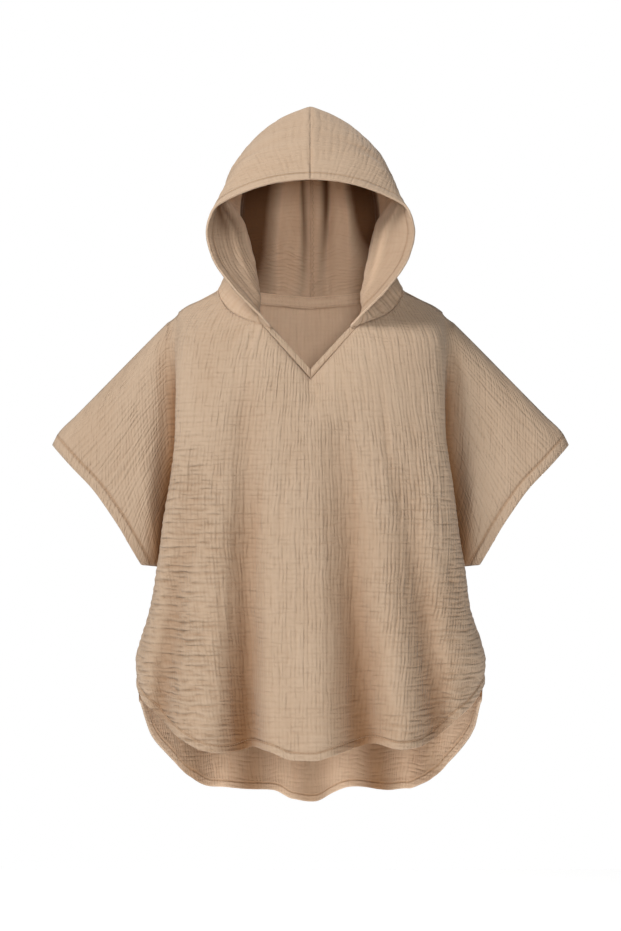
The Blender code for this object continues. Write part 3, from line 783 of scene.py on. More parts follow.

# %% [markdown]
# Where the cloth is worn it also creases. These are listed, on the front and on the back: a line
# from one place to another, a width and a depth. A crease is a soft trough with a low ridge on
# each side, and fades at both ends. A minus depth makes a ridge.

# %% Creases
CREASE_COLUMNS = ("x_from", "z_from", "x_to", "z_to", "width", "depth")
FRONT_CREASES = (
    (-0.183, -0.050, -0.197, -0.350, 0.0120, 0.0055),
    (0.183, -0.060, 0.199, -0.350, 0.0120, 0.0060),
    (-0.118, -0.190, -0.098, -0.360, 0.0070, 0.0012),
    (-0.060, -0.150, -0.070, -0.380, 0.0060, 0.0012),
    (-0.030, -0.190, -0.036, -0.430, 0.0050, 0.0010),
    (0.045, -0.130, 0.062, -0.420, 0.0065, 0.0014),
    (0.090, -0.110, 0.112, -0.330, 0.0070, 0.0014),
    (0.128, -0.150, 0.142, -0.340, 0.0060, 0.0012),
    (-0.145, -0.260, -0.150, -0.420, 0.0080, 0.0014),
    (0.020, -0.200, 0.024, -0.520, 0.0050, 0.0010),
    (-0.200, -0.400, -0.150, -0.330, 0.0070, 0.0012),
    (0.150, -0.330, 0.204, -0.400, 0.0075, 0.0015),
    (-0.130, -0.420, -0.120, -0.560, 0.0070, 0.0013),
    (0.085, -0.420, 0.092, -0.560, 0.0070, 0.0012),
    (-0.0960, -0.340, -0.1000, -0.780, 0.0042, 0.0032),
    (-0.1080, -0.300, -0.1120, -0.640, 0.0050, 0.0014),
    (0.0480, -0.300, 0.0600, -0.700, 0.0060, 0.0016),
)
BACK_CREASES = (
    (-0.183, -0.060, -0.196, -0.350, 0.0110, 0.0050),
    (0.183, -0.055, 0.197, -0.350, 0.0110, 0.0050),
    (-0.020, -0.060, -0.030, -0.300, 0.0070, 0.0014),
    (0.050, -0.090, 0.060, -0.380, 0.0070, 0.0014),
    (-0.085, -0.110, -0.098, -0.370, 0.0065, 0.0013),
    (0.120, -0.120, 0.128, -0.320, 0.0065, 0.0012),
    (-0.130, -0.150, -0.137, -0.420, 0.0070, 0.0013),
    (0.010, -0.330, 0.004, -0.600, 0.0065, 0.0012),
    (-0.190, -0.420, -0.140, -0.340, 0.0075, 0.0014),
    (0.145, -0.340, 0.196, -0.420, 0.0075, 0.0014),
)
CREASE_SWAY = 0.004
RIDGE_SPREAD = 2.2
RIDGE_SHARE = 0.45


def creased(x, z, creases):
    """Height that the listed creases add, in metres."""
    height = np.zeros_like(x)
    for row in creases:
        crease = dict(zip(CREASE_COLUMNS, row))
        start = np.array([crease["x_from"], crease["z_from"]])
        way = np.array([crease["x_to"], crease["z_to"]]) - start
        length = np.hypot(*way)
        way = way / length
        along = ((x - start[0]) * way[0] + (z - start[1]) * way[1]) / length
        beside = (x - start[0]) * -way[1] + (z - start[1]) * way[0]
        beside = beside + CREASE_SWAY * np.sin(along * 7 + start[0] * 60)
        strength = np.sin(np.clip(along, 0, 1) * math.pi) ** 0.7
        trough = np.exp(-((beside / crease["width"]) ** 2))
        ridges = np.exp(-((beside / (RIDGE_SPREAD * crease["width"])) ** 2))
        height -= crease["depth"] * strength * (trough - RIDGE_SHARE * ridges)
    return height


print(len(FRONT_CREASES), "creases in front,", len(BACK_CREASES), "behind")

# %% [markdown]
# Points lie evenly along the cloth across the body, because an even step in width would leave too
# few of them where the side turns back. Rows are closer together near the hem, where the cloth is
# turned up and sewn.

# %% Rows and columns of a panel
BODY_GRID = 212
ROWS_ABOVE = 94
ROWS_BELOW = 70
SLEEVE_GRID = 50
WAIST_DOWN = 1.4
HEM_CROWDING = 1.12


def even_columns(facing):
    """Places across the body that lie evenly along the cloth at the height of the waist."""
    trial = np.linspace(0, 1, 400)
    points = np.stack(body_point(trial, np.full_like(trial, WAIST_DOWN), facing), axis=-1)
    lengths = np.concatenate([[0], np.cumsum(np.linalg.norm(np.diff(points, axis=0), axis=1))])
    half = np.interp(np.linspace(0, lengths[-1], BODY_GRID // 2 + 1), lengths, trial)
    half[0] = 0
    half[-1] = 1
    return np.concatenate([-half[:0:-1], half])


def even_rows():
    """Places down the body, closer together near the hem."""
    below = np.linspace(0, 1, ROWS_BELOW + 1)[1:]
    return np.concatenate([np.linspace(0, 1, ROWS_ABOVE + 1), 2 - (1 - below) ** HEM_CROWDING])


print("points across and down the body:", BODY_GRID + 1, len(even_rows()))

# %% [markdown]
# Crinkles are not the same all over. Where the cloth hangs straight they are upright. Where it
# gathers at the sides they lie level and are rougher, and on one side of the chest it is calm.
# Each such place is a soft oval.

# %% Where the crinkles change
# Where upright crinkles give way to level ones, and where the cloth is calmer or rougher.
PATCH_COLUMNS = ("x", "z", "half_width", "half_height", "strength")
FRONT_LEVEL_PATCHES = ((-0.185, -0.47, 0.085, 0.24, 1.0), (0.20, -0.48, 0.05, 0.16, 0.64))
BACK_LEVEL_PATCHES = ((0.13, -0.50, 0.09, 0.16, 0.75),)
CALM_PATCHES = ((0.11, -0.11, 0.07, 0.09, 0.35),)
MOST_WARP = 0.88
SLEEVE_WARP = 0.40
HEM_WARP_LOSS = 0.35
HEM_WARP_TOP = -0.50
HEM_WARP_FADE = 0.06
BODY_ROUGHNESS = 0.95
SLEEVE_ROUGHNESS = 0.75
SIDE_ROUGHNESS = 0.85
SIDE_MIDDLE = 0.155
SIDE_SPREAD = 0.065
SIDE_TOP = -0.15
SIDE_FADE = 0.12


def in_patches(points, patches):
    """How far each point lies in soft oval patches, each given by a row of a table."""
    total = np.zeros(points.shape[:-1])
    for row in patches:
        patch = dict(zip(PATCH_COLUMNS, row))
        beside = (points[..., 0] - patch["x"]) / patch["half_width"]
        above = (points[..., 2] - patch["z"]) / patch["half_height"]
        total += patch["strength"] * np.exp(-(beside**2) - above**2)
    return total


def warp_share(points, facing, on_sleeve):
    """1 where upright crinkles rule, 0 where level ones do."""
    if on_sleeve:
        return np.full(points.shape[:-1], SLEEVE_WARP)
    if facing > 0:
        return np.clip(MOST_WARP - in_patches(points, BACK_LEVEL_PATCHES), 0, 1)
    lost = HEM_WARP_LOSS * eased((HEM_WARP_TOP - points[..., 2]) / HEM_WARP_FADE)
    return np.clip(MOST_WARP - in_patches(points, FRONT_LEVEL_PATCHES) - lost, 0, 1)


def roughness_of(points, on_sleeve):
    """How strong the crinkles are: the sides of the body below the chest are the roughest."""
    x, z = np.abs(points[..., 0]), points[..., 2]
    if on_sleeve:
        return np.full_like(x, SLEEVE_ROUGHNESS)
    sides = np.exp(-(((x - SIDE_MIDDLE) / SIDE_SPREAD) ** 2)) * eased((SIDE_TOP - z) / SIDE_FADE)
    return BODY_ROUGHNESS + SIDE_ROUGHNESS * sides - in_patches(points, CALM_PATCHES)


print("patches:", len(FRONT_LEVEL_PATCHES + BACK_LEVEL_PATCHES + CALM_PATCHES))

# %% [markdown]
# Below the neck seam the panel is eased into the hood, which leaves short gathers that spread out
# and fade. At the bottom of a fold and next to the sleeve the material paints shade, darker and
# warmer, for the light that these places lose and that bounces between the cloth's own walls. How
# deep each point lies is noted for the material.

# %% Gathers and deep places
GATHER_PITCH = 0.0050
GATHER_HEIGHT = 0.0025
GATHER_REACH = 0.030
GATHERS_FROM = 0.045
GATHERS_TO = 0.175
DEEPEST_FOLD = 0.045
CREVICE_WIDTH = 0.026
CREVICE_TOP = -0.055
CREVICE_FADE = 0.10


def gathers(points, seam_distance, facing):
    """Short gathers that spread out from the neck seam."""
    x, y = points[..., 0], points[..., 1]
    deep = NECK_FRONT if facing < 0 else NECK_BACK
    turn = np.arctan2(x / NECK_HALF, np.maximum(np.abs(y), 0.01) / deep)
    round_neck = turn * 0.5 * (NECK_HALF + deep) / GATHER_PITCH
    uneven = hills(round_neck * 0.3, seam_distance / 0.05, 71 + facing)
    wave = hills(round_neck + uneven * 0.5, seam_distance / 0.06 + 3, 77 + facing)
    reach = GATHER_REACH * (1 + 0.6 * uneven)
    x = np.abs(x)
    near_neck = eased((x - GATHERS_FROM) / 0.03) * eased((GATHERS_TO - x) / 0.05)
    return GATHER_HEIGHT * wave * np.exp(-seam_distance / reach) * near_neck


def in_fold(points, facing):
    """How deep a point lies in the large folds: 1 at the bottom of the deepest."""
    x, z = points[..., 0], points[..., 2]
    pushed, _ = folded(x, z, FRONT_FOLDS if facing < 0 else BACK_FOLDS)
    return np.clip(pushed / DEEPEST_FOLD, 0, 1)


def beside_body(points):
    """How deep a point of a sleeve lies in the crevice beside the body: 1 right next to it."""
    x, z = np.abs(points[..., 0]), points[..., 2]
    beyond = x - reading(BODY, BODY_COLUMNS, "half", z)
    return eased(1 - beyond / CREVICE_WIDTH) * eased((CREVICE_TOP - z) / CREVICE_FADE)


print("gathers below the neck, mm apart:", GATHER_PITCH * 1000)

# %% [markdown]
# Now the panels are put together. A hem could be a rolled strip of its own, but it is the same
# cloth turned up, so it stays in the sheet: the doubled cloth stands a little proud, the row of
# stitches sinks in, and the thread pulls it into small puckers.

# %% Sheets of the panels
HEM_WIDTH = 0.0105
SLEEVE_HEM_WIDTH = 0.0145
HEM_STITCH = HEM_WIDTH - 0.001
HEM_RISE = 0.0005
HEM_PUCKER = 0.00035
HEM_PUCKER_PITCH = 0.0075
STITCH_SINK = 0.0011
STITCH_PUCKER = 0.0006
STITCH_SINK_WIDTH = 0.0022
CALM_HEM = 0.20
HEM_FADE = 0.012
SEAM_CALM = 0.010
NECK_SINK = 0.0003
NECK_SINK_WIDTH = 0.003
SMOOTHED_COLUMNS = ("x", "z", "reach")
SMOOTHED = ((0.122, -0.040, 0.050), (0.066, -0.075, 0.018))
TURN_SHARE = 0.06
MEETING_SHARE = 0.3


def panel_grids(across, down, out, drop, facing):
    """Points and flat places of a panel's body, under 0, and of its two sleeves, under -1 and 1."""
    body = np.stack(body_point(across, down, facing), axis=-1)
    for row in SMOOTHED:
        place = dict(zip(SMOOTHED_COLUMNS, row))
        for side in (-1, 1):
            body = softened(body, side * place["x"], place["z"], place["reach"])
    middle = body.shape[1] // 2
    u = arc_lengths(body, 1)
    u = u - u[:, middle : middle + 1]
    v = arc_lengths(body, 0)
    v = v - v[ROWS_ABOVE : ROWS_ABOVE + 1]
    grids = {0: (body, np.stack([u, v], axis=-1))}
    for side in (-1, 1):
        sleeve = np.stack(sleeve_point(out, drop, side, facing), axis=-1)
        edge = 0 if side < 0 else -1
        sleeve_u = u[: ROWS_ABOVE + 1, edge][:, None] + side * arc_lengths(sleeve, 1)
        sleeve_v = v[0, edge] + arc_lengths(sleeve, 0)
        grids[side] = (sleeve, np.stack([sleeve_u, sleeve_v], axis=-1))
    return grids


def panel_borders(grids):
    """Dense lines along a panel's neck edge, its hem, its sleeve hems and all its seams."""
    body = grids[0][0]
    neck_edge = np.abs(body[0, :, 0]) <= NECK_HALF + NECK_EASE
    neck_border = dense(body[0, neck_edge])
    body_hem = dense(body[-1])
    sleeve_hems = np.concatenate([dense(grids[side][0][:, -1]) for side in (-1, 1)])
    seams = [neck_border]
    for side in (-1, 1):
        edge = 0 if side < 0 else -1
        seams += [dense(grids[side][0][0]), dense(grids[side][0][-1])]
        seams += [dense(body[ROWS_ABOVE:, edge])]
    shoulder_left = body[0, : np.argmax(neck_edge) + 1]
    seams += [dense(shoulder_left), dense(shoulder_left * (-1, 1, 1))]
    return neck_border, body_hem, sleeve_hems, np.concatenate(seams)


def panel_sheets(facing):
    """The three sheets of a panel: its body and two sleeves, with all their facts."""
    across, down = np.meshgrid(even_columns(facing), even_rows())
    out, drop = np.meshgrid(np.linspace(0, 1, SLEEVE_GRID + 1), np.linspace(0, 1, ROWS_ABOVE + 1))
    grids = panel_grids(across, down, out, drop, facing)
    neck_border, body_hem, sleeve_hems, seams = panel_borders(grids)
    sheets = []
    for side, (points, flat) in grids.items():
        on_sleeve = side != 0
        hem = distances_to(points, sleeve_hems if on_sleeve else body_hem)
        width = SLEEVE_HEM_WIDTH if on_sleeve else HEM_WIDTH
        seam = distances_to(points, seams)
        warp = warp_share(points, facing, on_sleeve)
        if on_sleeve:
            meet = eased(out / MEETING_SHARE)
            warp = warp * meet + warp_share(points, facing, False) * (1 - meet)
        rough = roughness_of(points, on_sleeve)
        relief = gauze(flat[..., 0], flat[..., 1], warp, 11 + facing) * (0.5 + 0.5 * rough)
        relief += creased(points[..., 0], points[..., 2],
                          FRONT_CREASES if facing < 0 else BACK_CREASES)
        calm = eased(seam / SEAM_CALM)
        relief *= calm * (CALM_HEM + (1 - CALM_HEM) * eased((hem - width) / HEM_FADE))
        along = flat[..., 1] if on_sleeve else flat[..., 0]
        pucker = hills(along / HEM_PUCKER_PITCH, hem / 0.02, 31 + facing)
        in_hem = 1 - eased((hem - width) / 0.002)
        at_stitches = np.exp(-(((hem - width) / STITCH_SINK_WIDTH) ** 2))
        relief += (HEM_RISE + HEM_PUCKER * pucker) * in_hem * calm
        relief -= (STITCH_SINK + STITCH_PUCKER * pucker) * at_stitches * calm
        if not on_sleeve:
            to_neck = distances_to(points, neck_border)
            relief += gathers(points, to_neck, facing) * eased(to_neck / 0.004)
            relief -= NECK_SINK * np.exp(-((to_neck / NECK_SINK_WIDTH) ** 2))
        # How deep a point lies in a large fold or beside the sleeve, where the material paints
        # shade.
        fold = beside_body(points)
        if not on_sleeve:
            turned = eased((np.abs(across) - FOLD_SHARE) / TURN_SHARE)
            fold = in_fold(points, facing) * (1 - turned) + fold * turned
        sheets.append({
            "points": points, "flat": flat, "relief": relief, "seam": seam,
            "hem": hem * HEM_WIDTH / width,
            "warp": warp, "fold": fold, "rough": rough,
            "flip": (side * facing < 0) if on_sleeve else facing < 0,
        })
    return sheets


panels = {facing: panel_sheets(facing) for facing in (-1, 1)}
for facing, sheets in panels.items():
    print("front" if facing < 0 else "back", [sheet["points"].shape[:2] for sheet in sheets])

# %% [markdown]
# The hood's halves. Their crinkles mostly run parallel to the front edge, as the cloth was cut
# with its warp up the face. The seam over the head pulls in and leaves a groove outside and a
# ridge inside, the front edge is turned in, and soft upright folds stand in the back wall. They
# are hollows in the same sheet, since the wall shows on both sides.
# Shade is painted into these hollows on the inside, and onto the flared face by the rim.

# %% Sheets of the hood
HOOD_AROUND = 120
HOOD_UP = 140
RIM_WIDTH = 0.0130
HOOD_FOLD_COLUMNS = ("around", "level", "width", "depth", "reach", "side")
HOOD_FOLDS = (
    # The inside is hollowed where depth is more than 0. side: -1 left, 1 right, 0 both.
    (0.775, 0.52, 0.085, 0.0098, 0.42, -1),
    (0.91, 0.38, 0.026, -0.0060, 0.30, -1),
    (0.968, 0.52, 0.014, 0.0042, 0.36, -1),
    (0.775, 0.58, 0.070, 0.0098, 0.28, 1),
    (0.89, 0.36, 0.028, -0.0065, 0.28, 1),
    (0.950, 0.60, 0.018, 0.0058, 0.34, 1),
    (0.66, 0.42, 0.030, -0.0030, 0.30, 0),
    (0.50, 0.36, 0.026, -0.0028, 0.30, 0),
    (0.16, 0.40, 0.020, -0.0016, 0.22, 0),
    (0.30, 0.78, 0.026, -0.0018, 0.20, 0),
    (0.15, 0.57, 0.080, 0.0026, 0.11, -1),
)
# Hollows this deep inside the hood get the full painted shade.
HOLLOW_FOR_FULL_SHADE = 0.0055
HOOD_LENGTH = 0.32
HALVES_APART = 0.00005
HOOD_TUCK_PITCH = 0.0052
HOOD_TUCK_HEIGHT = 0.0028
HOOD_TUCK_REACH = 0.024
HOOD_ROUGHNESS = 0.72
PEAK_REACH = 0.030
FOLD_SWAY = 0.010
CALM_RIM = 0.4
RIM_RISE = 0.0005
RIM_PUCKER = 0.0003
RIM_PUCKER_PITCH = 0.009
# Shade painted on the hood's inner side: over the back wall, on the flared face, and at the top of
# the left one.
BACK_WALL_SHADE = 0.09
FLARE_EVEN_SHADE = {-1: 0.45, 1: 0.42}
FLARE_SHADE = {-1: 0.16, 1: 0.0}
ALLOWANCE_WIDTH = 0.0095
ALLOWANCE_WALL = 0.0014
SEAM_RIDGE = 0.0022
SEAM_RIDGE_WIDTH = 0.0022
SEAM_SINK = 0.0008
SEAM_SINK_WIDTH = 0.0022
TUCK_DOWN = 0.0014
TUCK_IN = 0.006
CORNER_EASE = 0.0024
CORNER_REACH = 0.012


def hood_hollows(around, up, side):
    """How far the soft folds hollow one half of the hood from inside."""
    hollow = np.zeros_like(up)
    for row in HOOD_FOLDS:
        fold = dict(zip(HOOD_FOLD_COLUMNS, row))
        if fold["side"] == -side:
            continue
        sway = FOLD_SWAY * np.sin(up * 6 + fold["around"] * 20 + side)
        beside = (around - fold["around"] - sway) / fold["width"]
        strength = np.exp(-(((up - fold["level"]) / fold["reach"]) ** 2))
        hollow += fold["depth"] * strength * np.exp(-(beside**2))
    return hollow


def hood_sheet(side):
    """One half of the hood with its facts."""
    around, up = np.meshgrid(np.linspace(0, 1, HOOD_AROUND + 1), np.linspace(0, 1, HOOD_UP + 1))
    x, y, z = hood_point(around, up)
    points = np.stack([side * (x + HALVES_APART), y, z], axis=-1)
    rim = distances_to(points, dense(points[:, 0]))
    flat = np.stack([side * rim, up * HOOD_LENGTH], axis=-1)
    seam_line = np.concatenate([dense(points[-1]), dense(points[:, -1])])
    middle_seam = distances_to(points, seam_line)
    neck_seam = distances_to(points, dense(points[0]))
    near_peak = np.exp(-middle_seam / PEAK_REACH) * eased((up - 0.5) / 0.3)
    warp = np.clip(MOST_WARP - 0.35 * near_peak * (1.0 if side > 0 else 0.5), 0, 1)
    relief = gauze(flat[..., 0], flat[..., 1], warp, 41 + side) * (1 - 0.7 * near_peak)
    hollow = hood_hollows(around, up, side)
    relief += hollow
    back_seam = distances_to(points, dense(points[:, -1]))
    if side > 0:
        edge = back_seam - ALLOWANCE_WIDTH * (0.25 + 0.75 * up)
        relief -= ALLOWANCE_WALL * (1 - eased(edge / 0.0015))
        ridge = np.exp(-((edge / SEAM_RIDGE_WIDTH) ** 2))
        relief -= SEAM_RIDGE * ridge * eased((0.92 - up) / 0.2)
    calm = eased(np.minimum(middle_seam, neck_seam) / SEAM_CALM)
    relief *= calm * (CALM_RIM + (1 - CALM_RIM) * eased((rim - RIM_WIDTH) / HEM_FADE))
    in_rim = 1 - eased((rim - RIM_WIDTH) / 0.002)
    pucker = hills(flat[..., 1] / RIM_PUCKER_PITCH, rim / 0.03, 53 + side)
    relief += (RIM_RISE + RIM_PUCKER * pucker) * in_rim * eased(middle_seam / 0.004)
    at_seam = np.exp(-((middle_seam / SEAM_SINK_WIDTH) ** 2))
    relief -= SEAM_SINK * at_seam * eased((rim - RIM_WIDTH) / 0.010)
    relief -= NECK_SINK * np.exp(-((neck_seam / NECK_SINK_WIDTH) ** 2))
    round_neck = arc_lengths(points, 1)[:1] / HOOD_TUCK_PITCH
    tucks = hills(round_neck, neck_seam / 0.05, 61 + side)
    tucked = np.exp(-neck_seam / HOOD_TUCK_REACH) * eased(neck_seam / 0.004)
    relief += HOOD_TUCK_HEIGHT * tucks * tucked * eased(rim / 0.01)
    # Shade painted on the inner side: a little over the whole back wall, more on the flared face by
    # the rim, and most at the top of the left one.
    shaded = FLARE_EVEN_SHADE[side] + FLARE_SHADE[side] * np.exp(-(((up - 0.58) / 0.12) ** 2))
    flare_shade = BACK_WALL_SHADE + (shaded - BACK_WALL_SHADE) * (1 - eased((around - 0.16) / 0.12))
    corner = np.exp(-((rim / CORNER_REACH) ** 2) - (neck_seam / CORNER_REACH) ** 2)
    points[..., 0] += side * CORNER_EASE * corner
    points[0, :, :2] *= 1 - TUCK_IN
    points[0, :, 2] -= TUCK_DOWN
    # The fold fact sets where shade is painted on the inner side: in the hollows and on the flared
    # face.
    return {
        "points": points, "flat": flat, "relief": relief, "hem": rim,
        "seam": np.minimum(middle_seam, neck_seam), "warp": warp,
        "fold": np.clip(hollow / HOLLOW_FOR_FULL_SHADE + flare_shade, 0, 1),
        "rough": np.full(rim.shape, HOOD_ROUGHNESS),
        "flip": side < 0,
    }


hood = {side: hood_sheet(side) for side in (-1, 1)}
print("hood half:", hood[1]["points"].shape[:2])

# %% [markdown]
# A shader is a graph of nodes. Wiring each one by hand would hide what the gauze is made of, so a
# few helpers stand for the nodes that it needs: arithmetic, ramps, mixes and the facts that the
# cloth carries.

# %% Nodes by name


def node(tree, kind, **settings):
    """A new node, with its settings and unlinked inputs given by name."""
    made = tree.nodes.new(kind)
    for key, value in settings.items():
        setattr(made, key, value)
    return made


def fill(tree, sockets, values):
    """Gives each socket its value: a number, a colour or a link."""
    for socket, value in zip(sockets, values):
        if isinstance(value, (int, float)):
            socket.default_value = value
        elif isinstance(value, tuple):
            socket.default_value = (*value, 1)
        else:
            tree.links.new(value, socket)


def new_material(name):
    """A material, its node tree and its main shader."""
    mat = bpy.data.materials.new(name)
    mat.use_nodes = True
    return mat, mat.node_tree, mat.node_tree.nodes["Principled BSDF"]


def maths(tree, operation, *values):
    """A math node whose inputs are links or numbers."""
    made = node(tree, "ShaderNodeMath", operation=operation)
    fill(tree, made.inputs, values)
    return made.outputs[0]


def times(tree, *values):
    return maths(tree, "MULTIPLY", *values)


def plus(tree, *values):
    return maths(tree, "ADD", *values)


def minus(tree, *values):
    return maths(tree, "SUBTRACT", *values)


def ramp(tree, value, start, end, top=1.0):
    """0 where the value is at its start, top where it is at its end, and level beyond both."""
    made = node(tree, "ShaderNodeMapRange")
    made.inputs["From Min"].default_value = start
    made.inputs["From Max"].default_value = end
    made.inputs["To Max"].default_value = top
    tree.links.new(value, made.inputs["Value"])
    return made.outputs["Result"]


def attribute(tree, name, output="Fac"):
    return node(tree, "ShaderNodeAttribute", attribute_name=name).outputs[output]


def blended(tree, share, first, second):
    """A float mix: the first value where share is 0, the second where it is 1."""
    mix = node(tree, "ShaderNodeMix", data_type="FLOAT")
    fill(tree, (mix.inputs[0], mix.inputs[2], mix.inputs[3]), (share, first, second))
    return mix.outputs[0]


def tinted(tree, share, first, second):
    """A colour mix, with colours given as links or as numbers."""
    mix = node(tree, "ShaderNodeMix", data_type="RGBA")
    fill(tree, (mix.inputs[0], mix.inputs[6], mix.inputs[7]), (share, first, second))
    return mix.outputs[2]


print("facts that the shaders can read:", FACTS)

# %% [markdown]
# The puckers in the mesh give the larger light and shade. The shader adds what is too fine to
# model: rows of small puffs under a millimetre high, parted by valleys where the upper cloth is
# caught to the lower one. A plain noise would look like felt, so each family of puffs is a row of
# rounded waves, bent and broken by noise, on the flat cloth.

# %% Rows of puffs
UPRIGHT_PUFF = 0.0052
LEVEL_PUFF = 0.0062
BROAD_PUFF = 0.0105
# Shares of each family of puffs: first where level crinkles rule, then where upright ones do.
UPRIGHT_SHARES = (0.40, 0.85)
LEVEL_SHARES = (0.90, 0.50)
BROAD_SHARES = (1.00, 0.0)
BROAD_ROUNDNESS = 1.8
# Sizes of noise cells across and along the flat cloth, for puffs that run along it or across it.
BEND_CELLS = ((0.018, 0.045), (0.045, 0.018))
BREAK_CELLS = ((0.006, 0.018), (0.018, 0.006))
PATCH_CELLS = (0.050, 0.070)
PUFF_BEND = 1.1
BREAK_GAIN = 2.4
BREAK_FLOOR = 0.45
LEAST_PUFF = 0.1
LEAST_PATCH = 0.45


def stretched_noise(tree, vector, across, along, detail=2.0, offset=0.0):
    """Noise on the flat cloth, with cells of the given size in metres across and along."""
    mapping = node(tree, "ShaderNodeMapping")
    mapping.inputs["Scale"].default_value = (1 / across, 1 / along, 1)
    mapping.inputs["Location"].default_value = (offset, offset, 0)
    tree.links.new(vector, mapping.inputs["Vector"])
    noise = node(tree, "ShaderNodeTexNoise", noise_dimensions="2D")
    noise.inputs["Scale"].default_value = 1.0
    noise.inputs["Detail"].default_value = detail
    noise.inputs["Roughness"].default_value = 0.5
    tree.links.new(mapping.outputs["Vector"], noise.inputs["Vector"])
    return noise.outputs["Fac"]


def puffs(tree, flat, axis, pitch, offset, roundness=1.2):
    """Rows of small puffs a pitch apart: 0 on their tops, up to 1 in the valleys between them."""
    parts = node(tree, "ShaderNodeSeparateXYZ")
    tree.links.new(flat, parts.inputs["Vector"])
    bends = stretched_noise(tree, flat, *BEND_CELLS[axis], 1.0, offset)
    breaks = stretched_noise(tree, flat, *BREAK_CELLS[axis], 1.0, offset + 4.4)
    phase = plus(tree, maths(tree, "DIVIDE", parts.outputs[axis], pitch),
                 times(tree, bends, PUFF_BEND))
    wave = maths(tree, "ABSOLUTE", maths(tree, "SINE", times(tree, phase, math.pi)))
    valley = minus(tree, 1.0, maths(tree, "POWER", wave, roundness))
    broken = minus(tree, times(tree, breaks, BREAK_GAIN), BREAK_FLOOR)
    return times(tree, valley, maths(tree, "MAXIMUM", broken, LEAST_PUFF))


def puff_lines(tree, flat, puffed):
    """Valleys of the upright and the level puffs, stronger in patches and where it is rough."""
    warp = attribute(tree, "warp")
    rows = (
        (puffs(tree, flat, 0, UPRIGHT_PUFF, 1.3), UPRIGHT_SHARES),
        (puffs(tree, flat, 1, LEVEL_PUFF, 7.9), LEVEL_SHARES),
        (puffs(tree, flat, 1, BROAD_PUFF, 17.2, BROAD_ROUNDNESS), BROAD_SHARES),
    )
    lines = 0.0
    for valleys, shares in rows:
        lines = plus(tree, lines, times(tree, valleys, blended(tree, warp, *shares)))
    patches = stretched_noise(tree, flat, *PATCH_CELLS, offset=11.0)
    rough = times(tree, attribute(tree, "rough"), puffed)
    return times(tree, lines, times(tree, plus(tree, patches, LEAST_PATCH), rough))


print("puffs apart, mm:", [pitch * 1000 for pitch in (UPRIGHT_PUFF, LEVEL_PUFF, BROAD_PUFF)])

# %% [markdown]
# The gauze's material adds the open weave of threads a millimetre apart. Shade is painted into the
# valleys between puffs, into low places and into the stitch groove, darker and warmer, and deeper
# shade at the bottom of the large folds. Hem edges are a little paler with wear, and a soft sheen
# stands for the loose fibres. Little of the lamps' light reaches the inner sides of the hood and
# the back, so these have lighter versions of the same gauze, which is painted light, and the other
# copies are painted a little lighter or darker too.

# %% Cloth material
GAUZE_COLOUR = (0.608, 0.447, 0.316)
# Painted shade for the valleys between puffs, low places and the stitch groove.
GAUZE_VALLEY_SHADE = (0.470, 0.305, 0.190)
GAUZE_WORN = (0.690, 0.510, 0.365)
# Painted shade at the bottom of the folds, on the body and inside the hood.
GAUZE_FOLD_SHADE = (0.225, 0.086, 0.016)
HOOD_FOLD_SHADE = (0.115, 0.046, 0.014)
PUFF_HEIGHT = 0.93
GROOVE_WIDTH = 0.0019
SHEEN_TINT = (1.0, 0.93, 0.84, 1)
SLUB_CELLS = (0.0016, 0.060)
WARP_THREAD = (0.0011, 0.011)
WEFT_THREAD = (0.012, 0.0013)
THREAD_HEIGHT = 0.18
WEFT_HEIGHT = 0.8
GROOVE_DEPTH = 1.1
LOW_RELIEF = (0.0006, -0.0016)
LINE_SHADE = 0.26
LOW_SHADE = 0.30
GROOVE_SHADE = 0.80
SLUB_SHADE = 0.93
WORN_EDGE = 0.0022
WORN_SHARE = 0.5


